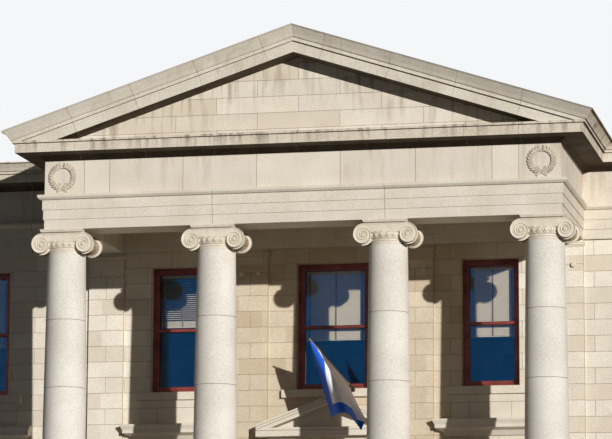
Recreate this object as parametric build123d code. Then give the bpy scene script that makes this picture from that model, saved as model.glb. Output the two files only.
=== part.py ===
from build123d import *
import os
from math import cos, floor, pi, sin

# A neoclassical town hall: a two-storey stone block with a four-column Ionic portico.
# Millimetres, +Z up. X = 0 is the centre line, Y = 0 the portico's frieze plane, Z = 0 the ground.
# The street front faces -Y.

# Heights
PODIUM_HEIGHT = 2100
COLUMN_HEIGHT = 8390
ARCHITRAVE_HEIGHT = 740
FRIEZE_HEIGHT = 740
BED_HEIGHT = 110
CORONA_HEIGHT = 200
FILLET_HEIGHT = 48
SIMA_HEIGHT = 192
UPPER_FLOOR_ABOVE_GROUND_FLOOR = 4500
FLOOR_THICKNESS = 300

# Main block
BLOCK_WIDTH = 21500
BLOCK_DEPTH = 15000
WALL_THICKNESS = 500
WALL_RECESS = 70
BASE_PROJECTION = 80
ROOF_BEARING = 250

# Portico
PORTICO_DEPTH = 3480
PORTICO_HALF_WIDTH = 5550
BEAM_THICKNESS = 800
PORCH_CEILING_THICKNESS = 100
CENTRE_BAY = 3700
SIDE_BAY = 3300
PEDIMENT_SLOPE = 0.326
RAKE_FILLET = 70
RAKE_CORONA = 235
TYMPANUM_THICKNESS = 400
ROOF_SLAB = 240
ROOF_RUN_OVER_BLOCK = 2500
UPSTAND_THICKNESS = 300

# Mouldings, each given by how far it stands out of the frieze plane
SECOND_FASCIA = 20
THIRD_FASCIA = 40
TAENIA = 125
BED_PROJECTION = 110
CORONA_PROJECTION = 520
FILLET_PROJECTION = 570
SIMA_PROJECTION = 760
FASCIA_HEIGHT = 210
TAENIA_HEIGHT = 110

# Columns
SHAFT_RADIUS = 465
NECK_RADIUS = 405
BASE_HEIGHT = 480
PLINTH_HEIGHT = 170
PLINTH_HALF = 640
CAPITAL_HEIGHT = 487
ABACUS_HALF = 470
ABACUS_HEIGHT = 72
ABACUS_FILLET = 30
ECHINUS_RADIUS = 455
ECHINUS_BOTTOM = 370
ASTRAGAL_HEIGHT = 35
ASTRAGAL_PROJECTION = 22
VOLUTE_HALF_SPREAD = 467
VOLUTE_HEIGHT = 433
VOLUTE_PITCH = 100
VOLUTE_EYE = 41
VOLUTE_LIP = 25
VOLUTE_PLATE = 110
CANALIS_DEPTH = 30
SPIRAL_STEPS_PER_TURN = 8
BOLSTER_END_RADIUS = 175
BOLSTER_WAIST_RADIUS = 120
BOLSTER_BELT_RADIUS = 140
BOLSTER_BELT_WIDTH = 130

# Flat faces round each turned piece
SHAFT_SIDES = 36
BASE_SIDES = 30
BOLSTER_SIDES = 12
POLE_SIDES = 8

# Pilasters behind the columns
PILASTER_HALF_WIDTH = 410
PILASTER_CAP_TOP = 65
PILASTER_CAP_HEIGHT = 90
PILASTER_CAP_PROJECTION = 35

# Windows and door
WINDOW_HEIGHT = 2800
SIDE_WINDOW_WIDTH = 1260
CENTRE_WINDOW_WIDTH = 1630
WING_WINDOW_WIDTH = 1480
SIDE_WINDOW_X = 3500
WING_WINDOW_X = 8170
UPPER_HEAD_BELOW_ARCHITRAVE = 340
GROUND_SILL_ABOVE_FLOOR = 950
REVEAL = 200
FRAME_WIDTH = 140
FRAME_DEPTH = 140
SASH_STEP = 45
MEETING_RAIL = 70
GLASS_THICKNESS = 12
SILL_HEIGHT = 180
SILL_OVERHANG = 314
SILL_PROJECTION = 100
APRON_HEIGHT = 533
APRON_PROJECTION = 50
APRON_INSET = 90
SIDE_WINDOW_COUNT = 4
REAR_WINDOW_COUNT = 5
HOOD_GAP = 424
HOOD_HEIGHT = 356
HOOD_OVERHANG = 610
HOOD_PROJECTION = 300
DOOR_WIDTH = 2200
DOOR_HEIGHT = 3800
DOOR_LEAF_HEIGHT = 2700
DOOR_LEAF_THICKNESS = 70
DOOR_SURROUND_WIDTH = 330
DOOR_SURROUND_PROJECTION = 120
DOOR_HOOD_HALF_WIDTH = 1832
DOOR_HOOD_SLOPE = 0.371
DOOR_HOOD_CORNICE = 193
DOOR_HOOD_RAKE = 200
DOOR_HOOD_PROJECTION = 400

# Porch
PORCH_FLOOR_THICKNESS = 150
PORCH_MARGIN = 110
STEP_COUNT = 14
STEP_TREAD = 330
CHEEK_WIDTH = 1200

# Flag on the sill of the window over the door; its pole rises outward and swings to the left
BRACKET_X = 548
BRACKET_WIDTH = 110
BRACKET_PLATE = 12
SOCKET_RADIUS = 30
SOCKET_LENGTH = 190
POLE_RADIUS = 19
POLE_LENGTH = 1668
POLE_RISE = 30.3
POLE_SWING = 24.6
FINIAL_LENGTH = 130
FINIAL_RADIUS = 34
HOIST_LENGTH = 1300
HOIST_TO_TIP = 40
CLOTH_SPREAD = 90
CLOTH_CLEARANCE = 0.3
OUTER_CORNER_IN = 750
OUTER_CORNER_DOWN = 1600
INNER_CORNER_IN = 0
INNER_CORNER_DOWN = 1130

# Levels worked out from the heights
ARCHITRAVE_Z = PODIUM_HEIGHT + COLUMN_HEIGHT
FRIEZE_Z = ARCHITRAVE_Z + ARCHITRAVE_HEIGHT
CORNICE_Z = FRIEZE_Z + FRIEZE_HEIGHT
CORONA_Z = CORNICE_Z + BED_HEIGHT
FILLET_Z = CORONA_Z + CORONA_HEIGHT
SIMA_Z = FILLET_Z + FILLET_HEIGHT
EAVES_Z = SIMA_Z + SIMA_HEIGHT
ROOF_TOP_Z = CORNICE_Z + FLOOR_THICKNESS
UPPER_FLOOR_Z = PODIUM_HEIGHT + UPPER_FLOOR_ABOVE_GROUND_FLOOR
UPPER_HEAD_Z = ARCHITRAVE_Z - UPPER_HEAD_BELOW_ARCHITRAVE
UPPER_SILL_Z = UPPER_HEAD_Z - WINDOW_HEIGHT
GROUND_SILL_Z = PODIUM_HEIGHT + GROUND_SILL_ABOVE_FLOOR
GROUND_HEAD_Z = GROUND_SILL_Z + WINDOW_HEIGHT
DOOR_HEAD_Z = PODIUM_HEIGHT + DOOR_HEIGHT

# Plan lines worked out from the widths and depths
HALF_BLOCK = BLOCK_WIDTH / 2
FRONT_WALL_Y = PORTICO_DEPTH + WALL_RECESS
REAR_WALL_Y = FRONT_WALL_Y + BLOCK_DEPTH
FRIEZE_HALF = HALF_BLOCK + WALL_RECESS
REAR_FRIEZE_Y = REAR_WALL_Y + WALL_RECESS
INNER_HALF = HALF_BLOCK - WALL_THICKNESS
INNER_FRONT_Y = FRONT_WALL_Y + WALL_THICKNESS
INNER_REAR_Y = REAR_WALL_Y - WALL_THICKNESS
COLUMN_Y = BEAM_THICKNESS / 2
INNER_COLUMN_X = CENTRE_BAY / 2
OUTER_COLUMN_X = INNER_COLUMN_X + SIDE_BAY
COLUMN_XS = (-OUTER_COLUMN_X, -INNER_COLUMN_X, INNER_COLUMN_X, OUTER_COLUMN_X)
PORCH_FRONT_Y = COLUMN_Y - PLINTH_HALF - PORCH_MARGIN
PORCH_HALF = OUTER_COLUMN_X + PLINTH_HALF + PORCH_MARGIN
PORCH_REAR_Y = PORTICO_DEPTH - BASE_PROJECTION
STEPS_HALF = PORCH_HALF - CHEEK_WIDTH
ROOF_BACK_Y = PORTICO_DEPTH + ROOF_RUN_OVER_BLOCK
EAVES_X = PORTICO_HALF_WIDTH + SIMA_PROJECTION
RIDGE_Z = EAVES_Z + PEDIMENT_SLOPE * EAVES_X
BEAM_INNER_X = PORTICO_HALF_WIDTH - BEAM_THICKNESS


# Plain solids
def block(x0, x1, y0, y1, z0, z1):
    """A box between two corners."""
    middle = Pos((x0 + x1) / 2, (y0 + y1) / 2, (z0 + z1) / 2)
    return middle * Box(x1 - x0, y1 - y0, z1 - z0)


def front_slab(outline, y0, y1):
    """A flat piece seen from the front: (x, z) points carried from y0 back to y1."""
    face = Plane((0, y1, 0), x_dir=(1, 0, 0), z_dir=(0, -1, 0)) * Polygon(*outline, align=None)
    return extrude(face, y1 - y0, dir=(0, -1, 0))


def side_slab(outline, x0, x1):
    """A flat piece seen from the side: (y, z) points carried from x0 across to x1."""
    face = Plane((x0, 0, 0), x_dir=(0, 1, 0), z_dir=(1, 0, 0)) * Polygon(*outline, align=None)
    return extrude(face, x1 - x0, dir=(1, 0, 0))


def stacked(rings):
    """A solid with flat faces between closed rings of points, from the lowest ring to the highest."""
    faces = [Face(Wire.make_polygon(rings[0])), Face(Wire.make_polygon(rings[-1]))]
    for low, high in zip(rings, rings[1:]):
        for k in range(len(low)):
            corners = [low[k - 1], low[k], high[k], high[k - 1]]
            faces.append(Face(Wire.make_polygon(corners)))
    return Solid(Shell(faces)).clean()


def turned(profile, sides):
    """A round piece about Z, as a many-sided one, from (radius, z) points going up."""
    angles = [2 * pi * k / sides for k in range(sides)]
    return stacked([[(radius * cos(a), radius * sin(a), z) for a in angles] for radius, z in profile])


def moulded_block(x0, x1, y0, y1, profile):
    """A rectangular block whose four sides follow a profile of (projection, z) points."""
    return stacked([
        [(x0 - out, y0 - out, z), (x1 + out, y0 - out, z), (x1 + out, y1 + out, z), (x0 - out, y1 + out, z)]
        for out, z in profile
    ])


def both_sides(piece):
    """The piece and its mirror image across the centre line."""
    return [piece, mirror(piece, Plane.YZ)]


def save(node, solids):
    """Write one node's solids to its own file."""
    if not isinstance(solids, list):
        solids = [solids]
    flat = [solid for shape in solids for solid in shape.solids()]
    whole = flat[0] if len(flat) == 1 else Compound(children=flat)
    export_step(whole, f"parts/{node}.step")


# Moulding profiles, from the bottom up
def architrave_profile():
    second_z = ARCHITRAVE_Z + FASCIA_HEIGHT
    third_z = second_z + FASCIA_HEIGHT
    taenia_z = FRIEZE_Z - TAENIA_HEIGHT
    return [
        (0, ARCHITRAVE_Z), (0, second_z),
        (SECOND_FASCIA, second_z), (SECOND_FASCIA, third_z),
        (THIRD_FASCIA, third_z), (THIRD_FASCIA, taenia_z),
        (TAENIA, FRIEZE_Z - TAENIA_HEIGHT / 2), (TAENIA, FRIEZE_Z),
    ]


def corona_profile():
    return [
        (0, CORNICE_Z), (BED_PROJECTION, CORONA_Z),
        (CORONA_PROJECTION, CORONA_Z), (CORONA_PROJECTION, FILLET_Z),
        (FILLET_PROJECTION, FILLET_Z), (FILLET_PROJECTION, SIMA_Z),
    ]


def sima_curve():
    """The cyma of the gutter moulding: hollow above, round below."""
    reach = SIMA_PROJECTION - FILLET_PROJECTION
    lower = (FILLET_PROJECTION + 0.2 * reach, SIMA_Z + 0.35 * SIMA_HEIGHT)
    upper = (FILLET_PROJECTION + 0.75 * reach, SIMA_Z + 0.65 * SIMA_HEIGHT)
    lip = (SIMA_PROJECTION, SIMA_Z + 0.85 * SIMA_HEIGHT)
    return [(FILLET_PROJECTION, SIMA_Z), lower, upper, lip, (SIMA_PROJECTION, EAVES_Z)]


# Main block
def wall_ring(outer_offset, inner_offset, z0, z1):
    """A ring of walling round the block; offsets are measured out from the wall face."""
    outer = block(-HALF_BLOCK - outer_offset, HALF_BLOCK + outer_offset,
                  FRONT_WALL_Y - outer_offset, REAR_WALL_Y + outer_offset, z0, z1)
    inner = block(-HALF_BLOCK - inner_offset, HALF_BLOCK + inner_offset,
                  FRONT_WALL_Y - inner_offset, REAR_WALL_Y + inner_offset, z0, z1)
    return outer - inner


def floor_slab(top_z):
    return block(-INNER_HALF, INNER_HALF, INNER_FRONT_Y, INNER_REAR_Y, top_z - FLOOR_THICKNESS, top_z)


def window_spots(count, span):
    """Even places along a wall of the given length, about its middle."""
    pitch = span / count
    return [(k - (count - 1) / 2) * pitch for k in range(count)]


def front_windows():
    """Each front window as (x, sill z, width)."""
    upper = [(0, UPPER_SILL_Z, CENTRE_WINDOW_WIDTH)]
    for side in (-1, 1):
        for sill_z in (UPPER_SILL_Z, GROUND_SILL_Z):
            upper.append((side * SIDE_WINDOW_X, sill_z, SIDE_WINDOW_WIDTH))
            upper.append((side * WING_WINDOW_X, sill_z, WING_WINDOW_WIDTH))
    return upper


def plain_windows(count, span):
    """Windows of an unseen wall as (place along the wall, sill z, width)."""
    spots = window_spots(count, span)
    return [(spot, sill_z, SIDE_WINDOW_WIDTH) for sill_z in (UPPER_SILL_Z, GROUND_SILL_Z) for spot in spots]


def window_hole(x, sill_z, width):
    return block(x - width / 2, x + width / 2, -WALL_THICKNESS, 2 * WALL_THICKNESS,
                 sill_z, sill_z + WINDOW_HEIGHT)


def window_frame(x, sill_z, width):
    """A double-hung window about y = 0: a frame, the upper sash proud of the lower one."""
    head_z = sill_z + WINDOW_HEIGHT
    middle_z = (sill_z + head_z) / 2
    y0 = REVEAL
    y1 = REVEAL + FRAME_DEPTH
    half = width / 2
    frame = block(x - half, x + half, y0, y1, sill_z, head_z)
    light = half - FRAME_WIDTH
    frame -= block(x - light, x + light, y0, y1, middle_z + MEETING_RAIL / 2, head_z - FRAME_WIDTH)
    frame -= block(x - light, x + light, y0, y1, sill_z + FRAME_WIDTH, middle_z - MEETING_RAIL / 2)
    sash = half - FRAME_WIDTH / 2
    frame -= block(x - sash, x + sash, y0, y0 + SASH_STEP, sill_z + FRAME_WIDTH / 2, middle_z - MEETING_RAIL / 2)
    return frame


def window_panes(x, sill_z, width):
    """The two sheets of glass of one window, the lower one further in."""
    head_z = sill_z + WINDOW_HEIGHT
    middle_z = (sill_z + head_z) / 2
    light = width / 2 - FRAME_WIDTH
    upper_y = REVEAL + SASH_STEP
    lower_y = REVEAL + 2 * SASH_STEP
    upper = block(x - light, x + light, upper_y, upper_y + GLASS_THICKNESS,
                  middle_z + MEETING_RAIL / 2, head_z - FRAME_WIDTH)
    lower = block(x - light, x + light, lower_y, lower_y + GLASS_THICKNESS,
                  sill_z + FRAME_WIDTH, middle_z - MEETING_RAIL / 2)
    return [upper, lower]


def window_sill(x, sill_z, width):
    """A projecting sill stone with the apron below it."""
    half = width / 2 + SILL_OVERHANG
    bottom_z = sill_z - SILL_HEIGHT
    sill = block(x - half, x + half, -SILL_PROJECTION, 0, bottom_z, sill_z)
    apron_half = half - APRON_INSET
    apron = block(x - apron_half, x + apron_half, -APRON_PROJECTION, 0, bottom_z - APRON_HEIGHT, bottom_z)
    return sill + apron


def plain_sill(x, sill_z, width):
    half = width / 2 + SILL_OVERHANG
    return block(x - half, x + half, -SILL_PROJECTION, 0, sill_z - SILL_HEIGHT, sill_z)


def window_hood(x, width):
    """A flat cornice on the wall over a ground-floor window."""
    top_z = GROUND_HEAD_Z + HOOD_GAP + HOOD_HEIGHT
    bed_z = GROUND_HEAD_Z + HOOD_GAP
    out = HOOD_PROJECTION
    profile = [
        (out - 0.85 * out, bed_z), (0.4 * out, bed_z + 0.3 * HOOD_HEIGHT),
        (0.85 * out, bed_z + 0.45 * HOOD_HEIGHT), (0.85 * out, bed_z + 0.65 * HOOD_HEIGHT),
        (out, top_z - 0.1 * HOOD_HEIGHT), (out, top_z),
    ]
    half = width / 2 + HOOD_OVERHANG - out
    hood = moulded_block(x - half, x + half, 0, 2 * out, profile)
    return hood - block(x - 2 * half - out, x + 2 * half + out, 0, 4 * out, bed_z, top_z)


def on_front(pieces):
    return [Pos(0, FRONT_WALL_Y, 0) * piece for piece in pieces]


def on_rear(pieces):
    return [Pos(0, REAR_WALL_Y, 0) * Rot(0, 0, 180) * piece for piece in pieces]


def on_left(pieces):
    middle_y = (FRONT_WALL_Y + REAR_WALL_Y) / 2
    return [Pos(-HALF_BLOCK, middle_y, 0) * Rot(0, 0, -90) * piece for piece in pieces]


def on_right(pieces):
    middle_y = (FRONT_WALL_Y + REAR_WALL_Y) / 2
    return [Pos(HALF_BLOCK, middle_y, 0) * Rot(0, 0, 90) * piece for piece in pieces]


def make_walls():
    wall_z = (PODIUM_HEIGHT, ARCHITRAVE_Z)
    front_holes = on_front([window_hole(*window) for window in front_windows()])
    rear_holes = on_rear([window_hole(*window) for window in plain_windows(REAR_WINDOW_COUNT, BLOCK_WIDTH)])
    side_windows = plain_windows(SIDE_WINDOW_COUNT, BLOCK_DEPTH)
    left_holes = on_left([window_hole(*window) for window in side_windows])
    right_holes = on_right([window_hole(*window) for window in side_windows])
    door_half = DOOR_WIDTH / 2
    left_part = block(-HALF_BLOCK, -door_half, FRONT_WALL_Y, INNER_FRONT_Y, *wall_z)
    right_part = block(door_half, HALF_BLOCK, FRONT_WALL_Y, INNER_FRONT_Y, *wall_z)
    over_door = block(-door_half, door_half, FRONT_WALL_Y, INNER_FRONT_Y, DOOR_HEAD_Z, ARCHITRAVE_Z)
    rear = block(-HALF_BLOCK, HALF_BLOCK, INNER_REAR_Y, REAR_WALL_Y, *wall_z)
    left = block(-HALF_BLOCK, -INNER_HALF, INNER_FRONT_Y, INNER_REAR_Y, *wall_z)
    right = block(INNER_HALF, HALF_BLOCK, INNER_FRONT_Y, INNER_REAR_Y, *wall_z)
    save("front_wall_left", left_part.cut(*front_holes))
    save("front_wall_right", right_part.cut(*front_holes))
    save("front_wall_over_door", over_door.cut(*front_holes))
    save("rear_wall", rear.cut(*rear_holes))
    save("left_wall", left.cut(*left_holes))
    save("right_wall", right.cut(*right_holes))


def make_floors_and_roof():
    save("base_walls", wall_ring(WALL_RECESS + BASE_PROJECTION, -WALL_THICKNESS, 0, PODIUM_HEIGHT))
    save("ground_floor", floor_slab(PODIUM_HEIGHT))
    save("upper_floor", floor_slab(UPPER_FLOOR_Z))
    roof_half = HALF_BLOCK - ROOF_BEARING
    save("roof_slab", block(-roof_half, roof_half, FRONT_WALL_Y + ROOF_BEARING, REAR_WALL_Y - ROOF_BEARING,
                            CORNICE_Z, ROOF_TOP_Z))


def make_main_entablature(portico_architrave, portico_cornice):
    """The three courses round the block, coped where the portico's own courses meet them."""
    plan = (-FRIEZE_HALF, FRIEZE_HALF, PORTICO_DEPTH, REAR_FRIEZE_Y)
    inside = block(-INNER_HALF, INNER_HALF, INNER_FRONT_Y, INNER_REAR_Y, ARCHITRAVE_Z, CORNICE_Z)
    architrave = moulded_block(*plan, architrave_profile()) - inside
    save("main_architrave", architrave - portico_architrave)
    save("main_frieze", wall_ring(WALL_RECESS, -WALL_THICKNESS, FRIEZE_Z, CORNICE_Z))
    cornice = moulded_block(*plan, corona_profile() + sima_curve()[1:])
    roof_half = HALF_BLOCK - ROOF_BEARING
    cornice -= block(-roof_half, roof_half, FRONT_WALL_Y + ROOF_BEARING, REAR_WALL_Y - ROOF_BEARING,
                     CORNICE_Z, EAVES_Z)
    cornice -= block(-PORTICO_HALF_WIDTH, PORTICO_HALF_WIDTH, 0, PORTICO_DEPTH, CORNICE_Z, EAVES_Z)
    save("main_cornice", cornice.cut(*portico_cornice))


def make_windows():
    front = front_windows()
    side = plain_windows(SIDE_WINDOW_COUNT, BLOCK_DEPTH)
    rear = plain_windows(REAR_WINDOW_COUNT, BLOCK_WIDTH)
    side_frames = [window_frame(*window) for window in side]
    side_panes = [pane for window in side for pane in window_panes(*window)]
    side_sills = [plain_sill(*window) for window in side]
    save("front_window_frames", on_front([window_frame(*window) for window in front]))
    save("side_window_frames", on_left(side_frames) + on_right(side_frames))
    save("rear_window_frames", on_rear([window_frame(*window) for window in rear]))
    front_panes = [pane for window in front for pane in window_panes(*window)]
    save("front_window_glass", on_front(front_panes))
    save("side_window_glass", on_left(side_panes) + on_right(side_panes))
    rear_panes = [pane for window in rear for pane in window_panes(*window)]
    save("rear_window_glass", on_rear(rear_panes))
    apron_sills = [window_sill(*window) for window in front if window[1] == UPPER_SILL_Z and window[0] != 0]
    low_sills = [plain_sill(*window) for window in front if window[1] == GROUND_SILL_Z or window[0] == 0]
    rear_sills = [plain_sill(*window) for window in rear]
    save("front_window_sills", on_front(apron_sills + low_sills))
    save("other_window_sills", on_left(side_sills) + on_right(side_sills) + on_rear(rear_sills))
    hoods = [window_hood(x, width) for x, sill_z, width in front if sill_z == GROUND_SILL_Z]
    save("window_hoods", on_front(hoods))


# Pilasters
def pilaster(x):
    """A flat pilaster with a small moulded cap under the architrave."""
    cap_z = ARCHITRAVE_Z - PILASTER_CAP_TOP
    half = PILASTER_HALF_WIDTH
    shaft = block(x - half, x + half, PORTICO_DEPTH, FRONT_WALL_Y, PODIUM_HEIGHT, ARCHITRAVE_Z)
    out = PILASTER_CAP_PROJECTION
    profile = [(0, cap_z - PILASTER_CAP_HEIGHT), (out, cap_z - PILASTER_CAP_HEIGHT / 2), (out, cap_z)]
    cap = moulded_block(x - half, x + half, PORTICO_DEPTH, FRONT_WALL_Y + half, profile)
    cap -= block(x - 2 * half, x + 2 * half, FRONT_WALL_Y, FRONT_WALL_Y + 2 * half, 0, ARCHITRAVE_Z)
    return shaft + cap


# Columns
def attic_base():
    """Plinth, lower round, hollow and upper round under one column."""
    z0 = PODIUM_HEIGHT + PLINTH_HEIGHT
    z1 = PODIUM_HEIGHT + BASE_HEIGHT
    rise = z1 - z0
    big = PLINTH_HALF
    small = SHAFT_RADIUS + 0.45 * (PLINTH_HALF - SHAFT_RADIUS)
    rounds = turned([
        (0.96 * big, z0), (big, z0 + 0.12 * rise), (big, z0 + 0.26 * rise), (0.96 * big, z0 + 0.38 * rise),
        (small, z0 + 0.5 * rise), (small, z0 + 0.62 * rise),
        (1.05 * small, z0 + 0.72 * rise), (1.05 * small, z0 + 0.88 * rise), (small, z1),
    ], BASE_SIDES)
    plinth = block(-big, big, -big, big, PODIUM_HEIGHT, z0)
    return plinth + rounds


def column_shaft():
    """A plain shaft that keeps its girth for the lower half and then narrows to the neck."""
    foot_z = PODIUM_HEIGHT + BASE_HEIGHT
    neck_z = ARCHITRAVE_Z - CAPITAL_HEIGHT
    length = neck_z - foot_z
    shoulder = NECK_RADIUS + 0.8 * (SHAFT_RADIUS - NECK_RADIUS)
    return turned([
        (SHAFT_RADIUS, foot_z), (SHAFT_RADIUS, foot_z + 0.42 * length),
        (shoulder, foot_z + 0.61 * length), (NECK_RADIUS, neck_z),
    ], SHAFT_SIDES)


def spiral_radius(turns):
    """Distance of the volute's outer edge from the eye, starting at the top."""
    top_radius = (VOLUTE_HEIGHT + VOLUTE_PITCH / 2) / 2
    return top_radius - VOLUTE_PITCH * turns


def volute_centre():
    """Eye of the right-hand volute, measured from the top of the capital on the column's axis."""
    return VOLUTE_HALF_SPREAD, -ABACUS_HEIGHT - spiral_radius(0)


def around_eye(turns, radius):
    """A point at a radius from the eye, a number of turns on from the top, outward first."""
    eye_x, eye_z = volute_centre()
    return eye_x + radius * sin(2 * pi * turns), eye_z + radius * cos(2 * pi * turns)


def turns_up_to(last):
    steps = floor(last * SPIRAL_STEPS_PER_TURN)
    return [k / SPIRAL_STEPS_PER_TURN for k in range(steps)] + [last]


def volute_plate():
    """Right half of a volute face, front at y = 0: scroll outline with the canalis sunk in it."""
    outline = [around_eye(turns, spiral_radius(turns)) for turns in turns_up_to(1)]
    scroll = front_slab(outline, 0, VOLUTE_PLATE)
    eye_x, eye_z = volute_centre()
    channel_z = eye_z + spiral_radius(1)
    band = block(0, eye_x, 0, VOLUTE_PLATE, channel_z - VOLUTE_LIP, -ABACUS_HEIGHT)
    groove_end = (spiral_radius(0) - VOLUTE_LIP - VOLUTE_EYE) / VOLUTE_PITCH
    turns_list = turns_up_to(groove_end)
    outer = [around_eye(turns, spiral_radius(turns) - VOLUTE_LIP) for turns in turns_list]
    inner = [around_eye(turns, max(spiral_radius(turns + 1), VOLUTE_EYE)) for turns in turns_list[:-1]]
    groove = front_slab(outer + inner[::-1], 0, CANALIS_DEPTH)
    channel = block(0, eye_x, 0, CANALIS_DEPTH, channel_z, -ABACUS_HEIGHT - VOLUTE_LIP)
    return scroll + band - groove - channel


def bolster():
    """The baluster-shaped roll that joins a front volute to the one behind it."""
    eye_x, eye_z = volute_centre()
    half = COLUMN_Y - VOLUTE_PLATE
    belt = BOLSTER_BELT_WIDTH / 2
    profile = [
        (BOLSTER_END_RADIUS, -half), (BOLSTER_WAIST_RADIUS, -belt), (BOLSTER_BELT_RADIUS, -belt),
        (BOLSTER_BELT_RADIUS, belt), (BOLSTER_WAIST_RADIUS, belt), (BOLSTER_END_RADIUS, half),
    ]
    return Pos(eye_x, 0, eye_z) * Rot(90, 0, 0) * turned(profile, BOLSTER_SIDES)


def ionic_capital():
    """Abacus, front and rear volutes with bolsters, echinus and neck; its top is at z = 0."""
    drop = -VOLUTE_LIP - VOLUTE_PITCH - ABACUS_HEIGHT
    abacus_profile = [(-ABACUS_FILLET, -ABACUS_HEIGHT), (0, -ABACUS_FILLET), (0, 0)]
    abacus = moulded_block(-ABACUS_HALF, ABACUS_HALF, -ABACUS_HALF, ABACUS_HALF, abacus_profile)
    collar = NECK_RADIUS + ASTRAGAL_PROJECTION
    rounds = turned([
        (NECK_RADIUS, -CAPITAL_HEIGHT), (NECK_RADIUS, -ECHINUS_BOTTOM - ASTRAGAL_HEIGHT),
        (collar, -ECHINUS_BOTTOM - ASTRAGAL_HEIGHT), (collar, -ECHINUS_BOTTOM),
        (ECHINUS_RADIUS, (drop - ECHINUS_BOTTOM) / 2), (ECHINUS_RADIUS, drop),
    ], SHAFT_SIDES)
    core = block(-NECK_RADIUS, NECK_RADIUS, -NECK_RADIUS, NECK_RADIUS, drop, -ABACUS_HEIGHT)
    front = Pos(0, -COLUMN_Y, 0) * volute_plate()
    rear = mirror(front, Plane.XZ)
    right = [front, rear, bolster()]
    left = [mirror(piece, Plane.YZ) for piece in right]
    return abacus.fuse(core, rounds, *right, *left)


def make_columns():
    base = attic_base()
    shaft = column_shaft()
    capital = ionic_capital()
    save("column_bases", [Pos(x, COLUMN_Y, 0) * base for x in COLUMN_XS])
    save("column_shafts", [Pos(x, COLUMN_Y, 0) * shaft for x in COLUMN_XS])
    save("column_capitals", [Pos(x, COLUMN_Y, ARCHITRAVE_Z) * capital for x in COLUMN_XS])
    save("pilasters", [pilaster(x) for x in COLUMN_XS])


# Portico entablature and pediment
def portico_course(profile):
    """A moulded course on the columns, open at the back, where it meets the main block."""
    z0 = profile[0][1]
    z1 = profile[-1][1]
    half = PORTICO_HALF_WIDTH
    reach = PORTICO_DEPTH + 2 * SIMA_PROJECTION
    course = moulded_block(-half, half, 0, reach, profile)
    course -= block(-2 * half, 2 * half, PORTICO_DEPTH, 2 * reach, z0, z1)
    return course - block(-BEAM_INNER_X, BEAM_INNER_X, BEAM_THICKNESS, PORTICO_DEPTH, z0, z1)


def flank_sima():
    """The gutter moulding along one side of the portico, mitred at the front corner."""
    outline = [(PORTICO_HALF_WIDTH + out, z) for out, z in sima_curve()]
    outline += [(PORTICO_HALF_WIDTH, EAVES_Z), (PORTICO_HALF_WIDTH, SIMA_Z)]
    return front_slab(outline, -SIMA_PROJECTION, PORTICO_DEPTH) - mitre_wedge(in_front=True)


def mitre_wedge(in_front):
    """Ground-plan triangle on one side of the 45 degree corner mitre, as high as the sima."""
    x0 = PORTICO_HALF_WIDTH
    x1 = x0 + 2 * SIMA_PROJECTION
    far_y = -2 * SIMA_PROJECTION if in_front else TYMPANUM_THICKNESS
    corner = (x0, far_y)
    points = [(x0, 0), (x1, -2 * SIMA_PROJECTION), corner]
    if not in_front:
        points.insert(2, (x1, far_y))
    return Pos(0, 0, SIMA_Z) * extrude(Polygon(*points, align=None), SIMA_HEIGHT, dir=(0, 0, 1))


def raking_cornice():
    """Right-hand sloping cornice: section at the ridge run down the slope, then mitred."""
    section = [(-out, z + PEDIMENT_SLOPE * (PORTICO_HALF_WIDTH + out)) for out, z in sima_curve()]
    bottom_z = section[0][1] - RAKE_FILLET
    section = [
        (TYMPANUM_THICKNESS, rake_soffit_z(0)), (-CORONA_PROJECTION, rake_soffit_z(0)),
        (-CORONA_PROJECTION, bottom_z), (-FILLET_PROJECTION, bottom_z),
    ] + section + [(TYMPANUM_THICKNESS, RIDGE_Z)]
    face = Plane((0, 0, 0), x_dir=(0, 1, 0), z_dir=(1, 0, 0)) * Polygon(*section, align=None)
    run = 1.2 * EAVES_X
    rake = extrude(face, run, dir=(1, 0, -PEDIMENT_SLOPE))
    rake -= block(-run, 2 * run, -2 * SIMA_PROJECTION, PORTICO_DEPTH, -ARCHITRAVE_Z, SIMA_Z)
    rake -= mitre_wedge(in_front=False)
    return rake & block(0, EAVES_X, -2 * SIMA_PROJECTION, PORTICO_DEPTH, SIMA_Z, 2 * ARCHITRAVE_Z)


def rake_soffit_z(x):
    """Underside of the raking corona at a distance from the centre line."""
    sima_foot = SIMA_Z + PEDIMENT_SLOPE * (PORTICO_HALF_WIDTH + FILLET_PROJECTION)
    return sima_foot - RAKE_FILLET - RAKE_CORONA - PEDIMENT_SLOPE * x


def roof_slope():
    """Right-hand roof slab, cut flat where it lands on the cornice."""
    landing = EAVES_X - ROOF_SLAB / PEDIMENT_SLOPE
    outline = [(0, RIDGE_Z), (EAVES_X, EAVES_Z), (landing, EAVES_Z), (0, RIDGE_Z - ROOF_SLAB)]
    return front_slab(outline, TYMPANUM_THICKNESS, ROOF_BACK_Y)


def roof_upstand():
    """Low side walls and a rear gable that carry the portico roof over the flat roof."""
    landing = EAVES_X - ROOF_SLAB / PEDIMENT_SLOPE
    gable = [(-landing, ROOF_TOP_Z), (landing, ROOF_TOP_Z), (landing, EAVES_Z),
             (0, RIDGE_Z - ROOF_SLAB), (-landing, EAVES_Z)]
    start_y = FRONT_WALL_Y + ROOF_BEARING
    solid = front_slab(gable, ROOF_BACK_Y - UPSTAND_THICKNESS, ROOF_BACK_Y)
    for side in (-1, 1):
        near = side * landing
        far = side * (landing + UPSTAND_THICKNESS)
        solid += block(min(near, far), max(near, far), start_y, ROOF_BACK_Y, ROOF_TOP_Z, EAVES_Z)
    return solid


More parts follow.
